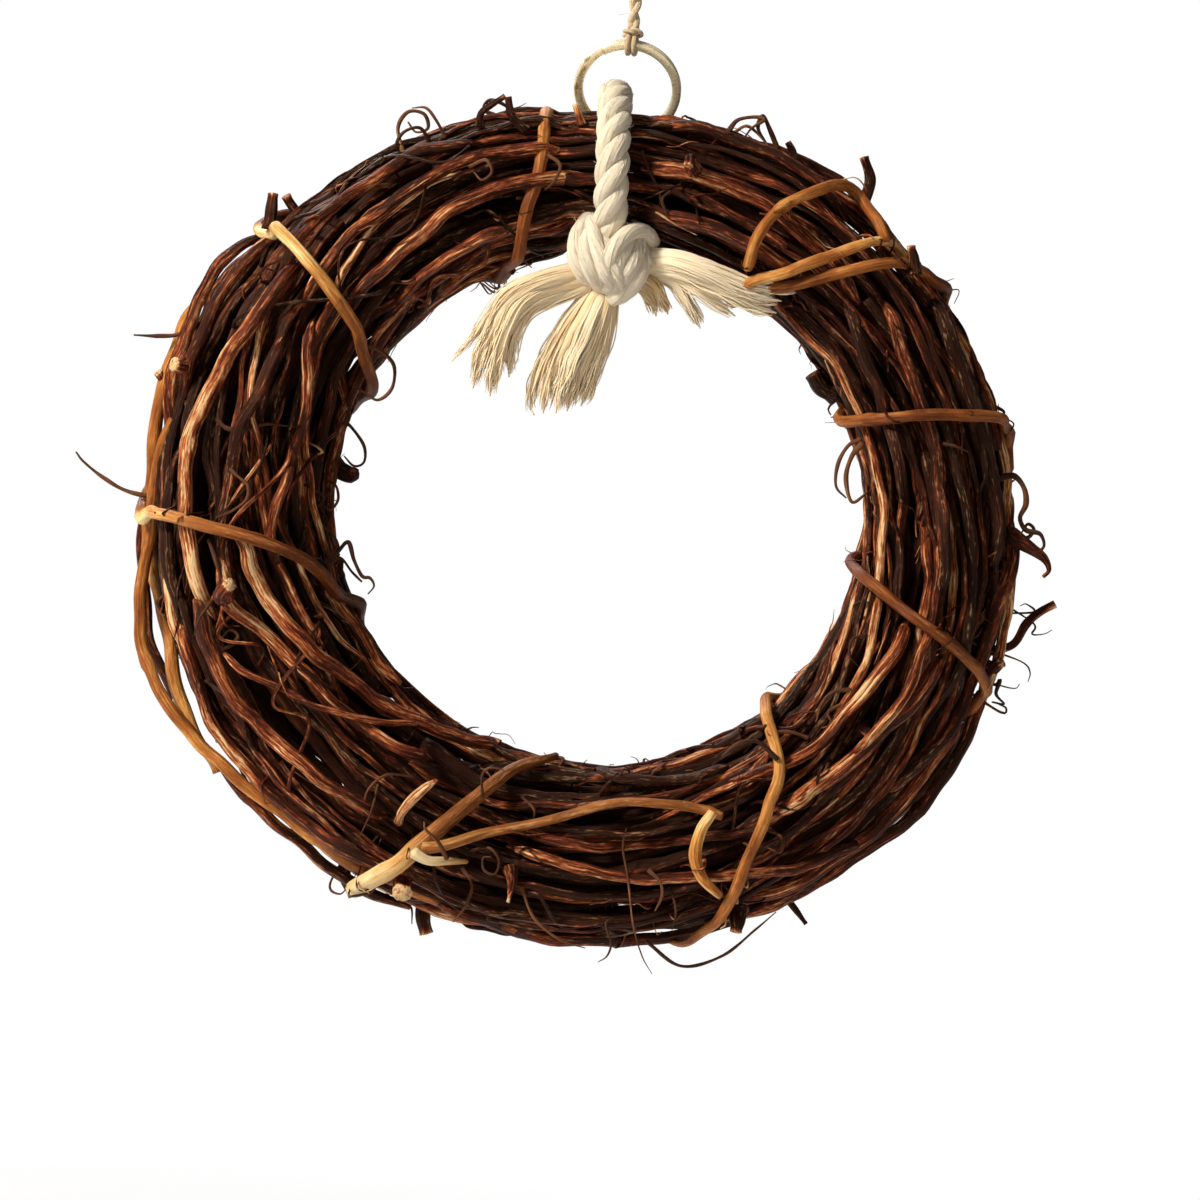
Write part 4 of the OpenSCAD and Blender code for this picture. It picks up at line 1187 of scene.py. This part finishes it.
# Cut side shoots: thickness at each end and tone, then pixels with the distance in front
STUBS = """
3 2.4 0.6: 272,232 271,212 273,194,-1;
2.6 2.2 0.5: 300,222 292,206 286,196,1;
3.2 2.2 0.4: 866,204 870,182 864,157,1;
3.4 2 0.45: 912,276 913,262 911,246,1;
4.4 4.2 0.4: 832,396 822,388,1 813,374,2;
3.6 1 0.5: 1010,536 1029,547,2 1044,558,3 1049,570,3 1043,577,3;
2 2 0.66: 1003,660 1012,645,1 1026,624,2 1040,612,2 1055,604,2;
3.4 2.6 0.5: 338,858 345,874,1 354,896,2;
4.2 4.4 0.72: 402,878 402,886,3 402,893,6;
3.6 3 0.55: 420,900 422,915,1 426,934,1;
4 2.6 0.4: 738,908 738,920,2 736,932,3;
1.8 1 0.4: 786,900 797,912,1 806,924,1;
1.8 1.4 0.4: 480,126 482,112,1 505,96,2;
2.2 1.6 0.45: 526,130 512,116,1 508,97,1;
1.8 1.4 0.72: 582,124 578,112 575,104;
2 1.4 0.5: 795,160 792,150 788,142;
3.4 2.2 0.5: 695,170 690,160,3 688,166,5;
2.6 2.2 0.72: 170,385 163,378,2 158,372,3;
4 3.2 0.7: 190,360 182,366,3 174,364,5;
4.2 3.4 0.62: 226,596 224,590,3 230,584,5;
4.4 3 0.3: 345,470 351,476,1 352,470,2;
3.2 0.8 0.7: 510,868 512,884,2 508,902,4;
3 2 0.5: 862,726 872,740,2 866,752,3;
4.6 2.6 0.6: 980,664 990,668,3 1002,662,5;
"""


def stubs():
    for points, start, end, tone in drawn(STUBS):
        path = grown(points)
        s = lengths(path)
        r = along(s, [0, 0.25, 0.9, 1], [start * 0.7, start * 0.5, end * 0.52, end * 0.56])
        tone = tone - 0.1 + 0.4 * np.clip(s / s[-1] * 6 - 5, 0, 1)
        profile = bumpy(s, 9, [(s[-1] * 0.6, 0.15, rng.uniform(0, 360))], 0.06)
        build.tube(path, r, 9, tone, profile, ends=(0.1, 0.12))
    bud = grown(pixels("398,822 402,812,3 412,800,5 425,788,6 437,780,6"))
    r = along(lengths(bud), [0, 0.12, 0.5, 0.85, 1], [1.6, 1.3, 1.75, 1.3, 0.5])
    build.tube(bud, r, 10, 0.86, squash=0.8)
    build.finish("cut_side_shoots", "binding", VINE, "cut_stubs")


# Tendrils by place: half thickness, then pixels with the distance in front of the root
TENDRILS = {
    "top": """
0.6: 402,150 398,128,1 408,112,2 424,114,2 428,128,1 416,132 408,122,-1;
0.5: 430,142 420,128,2 404,132,3 396,146,3 404,156,2;
0.5: 445,136 436,120,1 426,108,1 412,108;
0.6: 520,132 500,118,1 484,110,1 490,100,2 506,106,2 518,120,1;
0.6: 728,132 738,120 756,117,1 764,120,2 752,128,2 744,138,1;
0.7: 778,150 770,130 763,116,1 758,128,2 766,142,2;
0.45: 735,132 746,126,1 756,132,1 770,148,1;
0.5: 470,168 486,160,3 492,172,4 482,180,4 474,172,3;
0.5: 548,155 560,165,3 555,180,4 545,190,3;
0.5: 642,150 650,172,2 660,195,2 658,212,2;
0.45: 670,192 662,200,2 668,215,2;
""",
    "left": """
0.7: 152,500 130,492,1 104,478,2 84,462,2 76,452,2;
0.7: 205,322 180,334,1 158,336,1 134,335,1;
0.5: 232,470 240,478,4 248,486,5 246,500,5 230,512,4 215,518,3;
0.55: 210,540 216,562,4 220,580,5 212,600,5 200,618,4 194,636,3;
0.65: 194,636 200,648,4 214,652,5 230,646,6 238,636,6 230,630,6 222,638,5;
0.55: 208,612 216,620,5 213,634,6 220,642,6 232,640,5;
0.6: 160,620 158,604,3 164,596,4 172,600,4;
0.6: 218,420 226,428,4 238,430,5 252,428,5 266,424,4 288,426,3;
0.45: 176,410 186,404,4 196,400,4 182,402,4;
0.5: 180,655 186,668,3 196,664,4 190,656,4;
""",
    "right": """
0.75: 1000,478 1014,476,2 1024,488,3 1026,504,3 1020,518,2 1026,530,2 1040,534,2 1044,546,1 1036,552
  1030,544;
0.6: 1018,530 1026,538,1 1034,530,2 1028,524,2 1022,532,1;
0.35: 1030,620,1 1034,612,2 1026,604,2 1020,606,2;
0.3: 1040,612,2 1034,624,2 1032,634,3 1044,634,3 1052,630,3;
0.3: 1008,656 1022,662,2 1030,672,3 1028,682,3;
0.3: 1000,690 1010,688,1 1020,684,1;
0.6: 985,668 992,684,3 1000,680,4 996,694,4 1004,704,3 992,702,2;
0.5: 992,700 1000,712,1 1006,708,1 998,704,1;
0.5: 935,285 945,290,1 946,302,2 938,310,2 946,316,2;
0.5: 1000,404 1004,412,1 998,420,1;
0.5: 942,444 955,446,3 968,452,3;
""",
    "inner": """
0.55: 368,346 382,352 394,366 392,388,1 378,400,1 364,392,1 352,384;
0.5: 340,418 352,428,1 364,446,1 364,462,1 354,466 344,456;
0.45: 332,462 336,476,1 332,490,1 322,498;
0.4: 326,480 336,486,1 338,500,1 330,510,1 322,504;
0.4: 322,525 332,534,1 338,546,1 330,556,1 324,548;
0.6: 324,562 336,554,1 348,542,2 354,560,2 362,576,2 370,578,2 374,586,2 368,594,2;
0.45: 326,566 340,558 352,572 362,582 356,576;
0.5: 388,680 398,694,1 404,710,1;
0.6: 860,440 848,446,1 838,464,1 836,486,1 846,498;
0.75: 862,444 852,456 846,478 852,502 868,492;
0.45: 866,600 854,606,1 862,616,1 852,612,1;
0.4: 866,634 852,640,1 850,656,1 860,668;
0.6: 850,690 834,692,1 822,704,2 816,722,2;
0.5: 842,704 828,712,1 832,724,1 822,728,1;
0.6: 808,738 790,732,1 772,734,1 764,744,1;
0.65: 776,758 758,742,2 738,744,3 722,756,3;
0.4: 352,566 342,560,2 334,566,2 328,576,1;
""",
    "bottom": """
0.45: 521,886 534,918,3 560,940,4 585,948,3;
0.32: 627,828 623,848,3 628,879,5 633,924,4 642,956,2 652,974,1;
0.35: 617,916 606,924,3 611,943,4 607,956,3 598,962,2;
0.5: 646,940 681,966 722,956 755,930,1 776,912,2;
0.5: 649,870 660,882,3 662,896,4 655,911,3;
0.42: 470,851 489,848,4 499,860,5 495,874,5 484,870,5 483,858,5 491,857,6;
0.4: 413,777 387,775,4 368,790,5 362,816,4;
0.35: 378,784 371,812,3 359,838,3;
0.5: 540,755 562,758,3 558,768,4 534,784,4 509,806,4 493,824,3;
0.5: 521,797 534,809,3 534,819,3;
0.4: 483,796 482,776,4 490,768,5 504,770,5;
0.45: 376,880 390,900,2 410,906,3 412,924,3;
0.4: 336,868 330,884,2 340,894,3 350,884,3;
0.45: 462,868 472,885,3 466,905,4 453,922,3;
0.55: 770,830 782,838,4 780,852,4 768,848,3;
0.4: 672,892 676,912,3 672,930,3;
0.6: 448,856 438,842,4 426,830,5 424,822,5;
""",
}


def tendrils():
    for place, table in TENDRILS.items():
        for points, a in drawn(table):
            path = grown(points)
            s = lengths(path)
            r = a * along(s, [0, 0.15, 0.7, 1], [1.3, 1.0, 0.8, 0.35])
            r = r * (1 + 0.12 * sin(s * 40 + rng.uniform(0, 360)))
            build.tube(path, r, 6, rng.uniform(0.35, 0.62), ends=(0.5, 0.8))
        build.finish(f"{place}_curls", "vine_dark", TENDRIL, f"{place}_tendrils")


def shreds():
    """Strips of bark that peel off, and short rough bits between the canes."""
    for _ in range(230):
        th, psi = rng.uniform(0, 360), rng.uniform(-30, 210)
        if abs(th - ROPE_ANGLE) < 9:
            continue
        span = rng.uniform(5, 15)
        u = np.linspace(0, 1, 7)
        th = th + np.degrees(span / ROUND_R) * u * rng.choice([-1, 1])
        psi = psi + rng.uniform(-14, 14) * u
        a = rng.uniform(0.3, 0.75)
        base = relief.rest(th, psi, np.full(7, 20.0), np.full(7, a))
        lift = rng.uniform(0.2, 2.2) * u**2.2 - 0.3
        path = smooth_curve(on_bundle(th, psi, base + lift), 0.8)
        r = a * along(lengths(path), [0, 0.3, 1], [0.8, 1, 0.3])
        build.tube(path, r, 6, rng.uniform(0.3, 0.85), squash=0.45)
    build.finish("bark_shreds", "vine", VINE)


twig()
stubs()
tendrils()
shreds()

# ---- Rope, knot and tails ----

ROPE_LEAN, ROPE_SHIFT, LEAN_FROM = 0.0507, 1.0, -57
KNOT_ANGLE, KNOT_SIDE = 150, 15  # the rope ends on both sides of the knot
ROPE_LOWER = 4  # the rope sits this many pixels lower than in the photograph


def rope_dir(phi):
    return np.stack([0 * phi, -sin(phi), cos(phi)], -1)


def rope_loop():
    """The CAD's own route: round the bundle, over the wire and back, to both sides of the knot.
    It leans a little to the right of straight down, as in the photograph."""
    slope = math.degrees(math.asin(ROPE_MID[0] / RING_MEAN_R))
    bight_r = GAP + (WIRE_R + ROPE_R) / float(cos(slope))
    _, y, z = WIRE_LOW - ROPE_MID
    at = math.degrees(math.atan2(-y, z))
    half = math.degrees(math.acos((ROPE_RING_R - bight_r) / math.hypot(y, z)))
    start, end = KNOT_ANGLE - KNOT_SIDE, KNOT_ANGLE - 360 + KNOT_SIDE
    path = np.vstack(
        [
            ROPE_MID + ROPE_RING_R * rope_dir(np.linspace(start, at + half, 60)),
            WIRE_LOW + bight_r * rope_dir(np.linspace(at + half, at - half, 24)[1:-1]),
            ROPE_MID + ROPE_RING_R * rope_dir(np.linspace(at - half, end, 110)),
        ]
    )
    path = evened(path, 0.6)
    path[:, 0] += ROPE_SHIFT + ROPE_LEAN * (LEAN_FROM - path[:, 2])
    plied(path, 2 * ROPE_R * 1.09, 3, 18.5, 20, 0.8, yarns=9, full=1.14, hairs=20)
    fibres(path, 1, ROPE_R * 0.95, 0.045, 420, (0.5, 0.5), (0.3, 1.0), 0.4)
    build.finish("cotton_rope", "cotton", COTTON, "rope_loop")


# The knot's arms: thickness, strands and lay, then pixels
KNOT = """
8 3 90: 601,214,9 591,224,14 584,238,17 584,253,18 591,267,17 601,278,12;
8.4 3 80: 628,229,10 634,242,15 635,257,18 630,271,19 619,283,16 606,288,11;
6.6 2 60: 648,240,13 640,231,17 629,233,20 619,245,22 614,258,22 611,272,20 609,284,14;
6.2 2 60: 593,219,14 598,233,19 603,247,21 609,262,22 616,276,20 622,288,14;
9.5 3 50: 606,236,12 608,255,14 608,275,13;
"""


def knot():
    for points, d, strands, lay in drawn(KNOT):
        path = curve(in_space(points, ROPE_LOWER, 1), 0.6)
        # The knot's strands get a higher tone than the rope's, 0.92 against 0.8: painted light that
        # lifts the knot out of its shade.
        plied(path, d, int(strands), lay, 20, 0.92, yarns=11, full=1.2, hairs=22)
        fibres(path, 1, d / 2 * 0.95, 0.045, 130, (0.5, 0.5), (0.3, 1.0), 0.4)
    build.finish("cotton_knot", "cotton", COTTON, "rope_knot")


# Locks of the tails: half width at the root, in the middle and at the tip, number of yarns and
# tone, then pixels with the distance in front
LOCKS = {
    "left": """
2 1.7 0.5 26 0.55: 588,262,13 545,271,16 513,283,17 495,300,17 478,325,16 462,345,15 452,357,14;
2.2 2.4 0.9 46 0.38: 588,268,13 546,278,17 515,292,18 500,312,18 486,342,17 478,365,16 473,384,15;
2.2 2.6 0.9 46 0.42: 588,275,13 550,286,16 522,301,18 507,325,18 498,352,17 492,375,16 490,392,15;
1.8 2.2 0.9 36 0.52: 590,281,13 556,294,15 530,306,16 516,328,16 511,352,15 509,373,14;
""",
    "middle": """
2 1.8 0.8 34 0.55: 598,283,12 572,312,14 550,345,14 536,375,13 530,400,12 534,411,12;
2.2 2.4 1 40 0.34: 600,286,13 580,318,15 560,352,15 547,385,14 543,409,13;
2.2 2.4 1 40 0.62: 604,288,13 588,322,16 571,358,16 558,390,15 556,409,14;
2.2 2.4 1 40 0.42: 608,289,13 598,325,15 584,360,15 572,390,14 567,407,13;
1.8 2 1 32 0.36: 612,290,12 608,325,14 598,358,14 588,385,13 581,402,12;
""",
    # The right tail's lower locks have lower tones than its top ones: painted shade beneath it.
    "right": """
2 1.6 0.5 36 0.86: 642,252,13 675,252,18 705,261,20 740,276,19 770,284,18 799,286,17;
2.2 2 0.8 44 0.8: 642,257,13 675,258,18 705,269,20 738,285,19 762,294,18 781,297,17;
2 2 0.8 40 0.72: 642,262,13 676,265,17 704,277,18 735,293,18 758,303,17 776,309,16;
2 2 0.8 34 0.6: 642,266,12 676,272,15 698,286,16 718,300,15 735,312,14;
1.8 1.9 0.8 30 0.7: 642,268,12 672,277,14 684,293,14 694,310,13 700,324,12;
""",
    # The short locks under the right tail have the lowest tones: painted shade.
    "short": """
1.8 1.8 0.8 30 0.2: 638,270,12 654,280,14 663,298,14 668,310,13;
1.6 1.6 0.8 26 0.35: 634,276,12 646,288,13 654,302,13 656,312,12;
""",
}


def tails():
    for place, table in LOCKS.items():
        for points, root, middle, tip, count, base in drawn(table):
            line = curve(in_space(points, ROPE_LOWER, 1), 0.8)
            side, up = carried(line)
            s = lengths(line)
            u = s / s[-1]
            half = np.interp(u, [0, 0.45, 0.8, 1], [root, middle * 1.25, middle * 1.05, tip * 1.5])
            core = np.interp(u, [0, 0.6, 1], [root, middle * 0.62, 0.2])
            build.tube(line, core * 0.95, 8, base, ends=(0.4, 1.0))
            for _ in range(int(count * 2.1)):
                a, b = rng.uniform(0, 360), rng.uniform(0, 360)
                d, e = math.sqrt(rng.uniform(0.2, 1)), rng.uniform(0, 1.1)
                blend = np.clip(u / 0.9, 0, 1) ** 1.5
                across, deep = ((1 - blend) * d * f(a) + blend * e * f(b) for f in (cos, sin))
                turn = 360 * s / rng.uniform(8, 16) + rng.uniform(0, 360)
                wave = 0.3 * u * rng.uniform(0.4, 1.6)
                path = line + (half * across + wave * sin(turn))[:, None] * up
                path = path + (half * deep * 0.7 + wave * cos(turn * 0.8))[:, None] * side
                stop = max(8, int(len(path) * rng.uniform(0.78, 1)))
                r = rng.uniform(0.13, 0.28)
                r = r * np.interp(u[:stop] / u[stop - 1], [0, 0.7, 0.95, 1], [1, 1, 0.7, 0.2])
                tone = base + rng.normal(0, 0.13) + 0.12 * u[:stop]
                build.tube(path[:stop], r, 5, tone, ends=(0.4, 1.5))
        build.finish(f"cotton_tail_{place}", "cotton", YARN, f"rope_tail_{place}")


rope_loop()
knot()
tails()
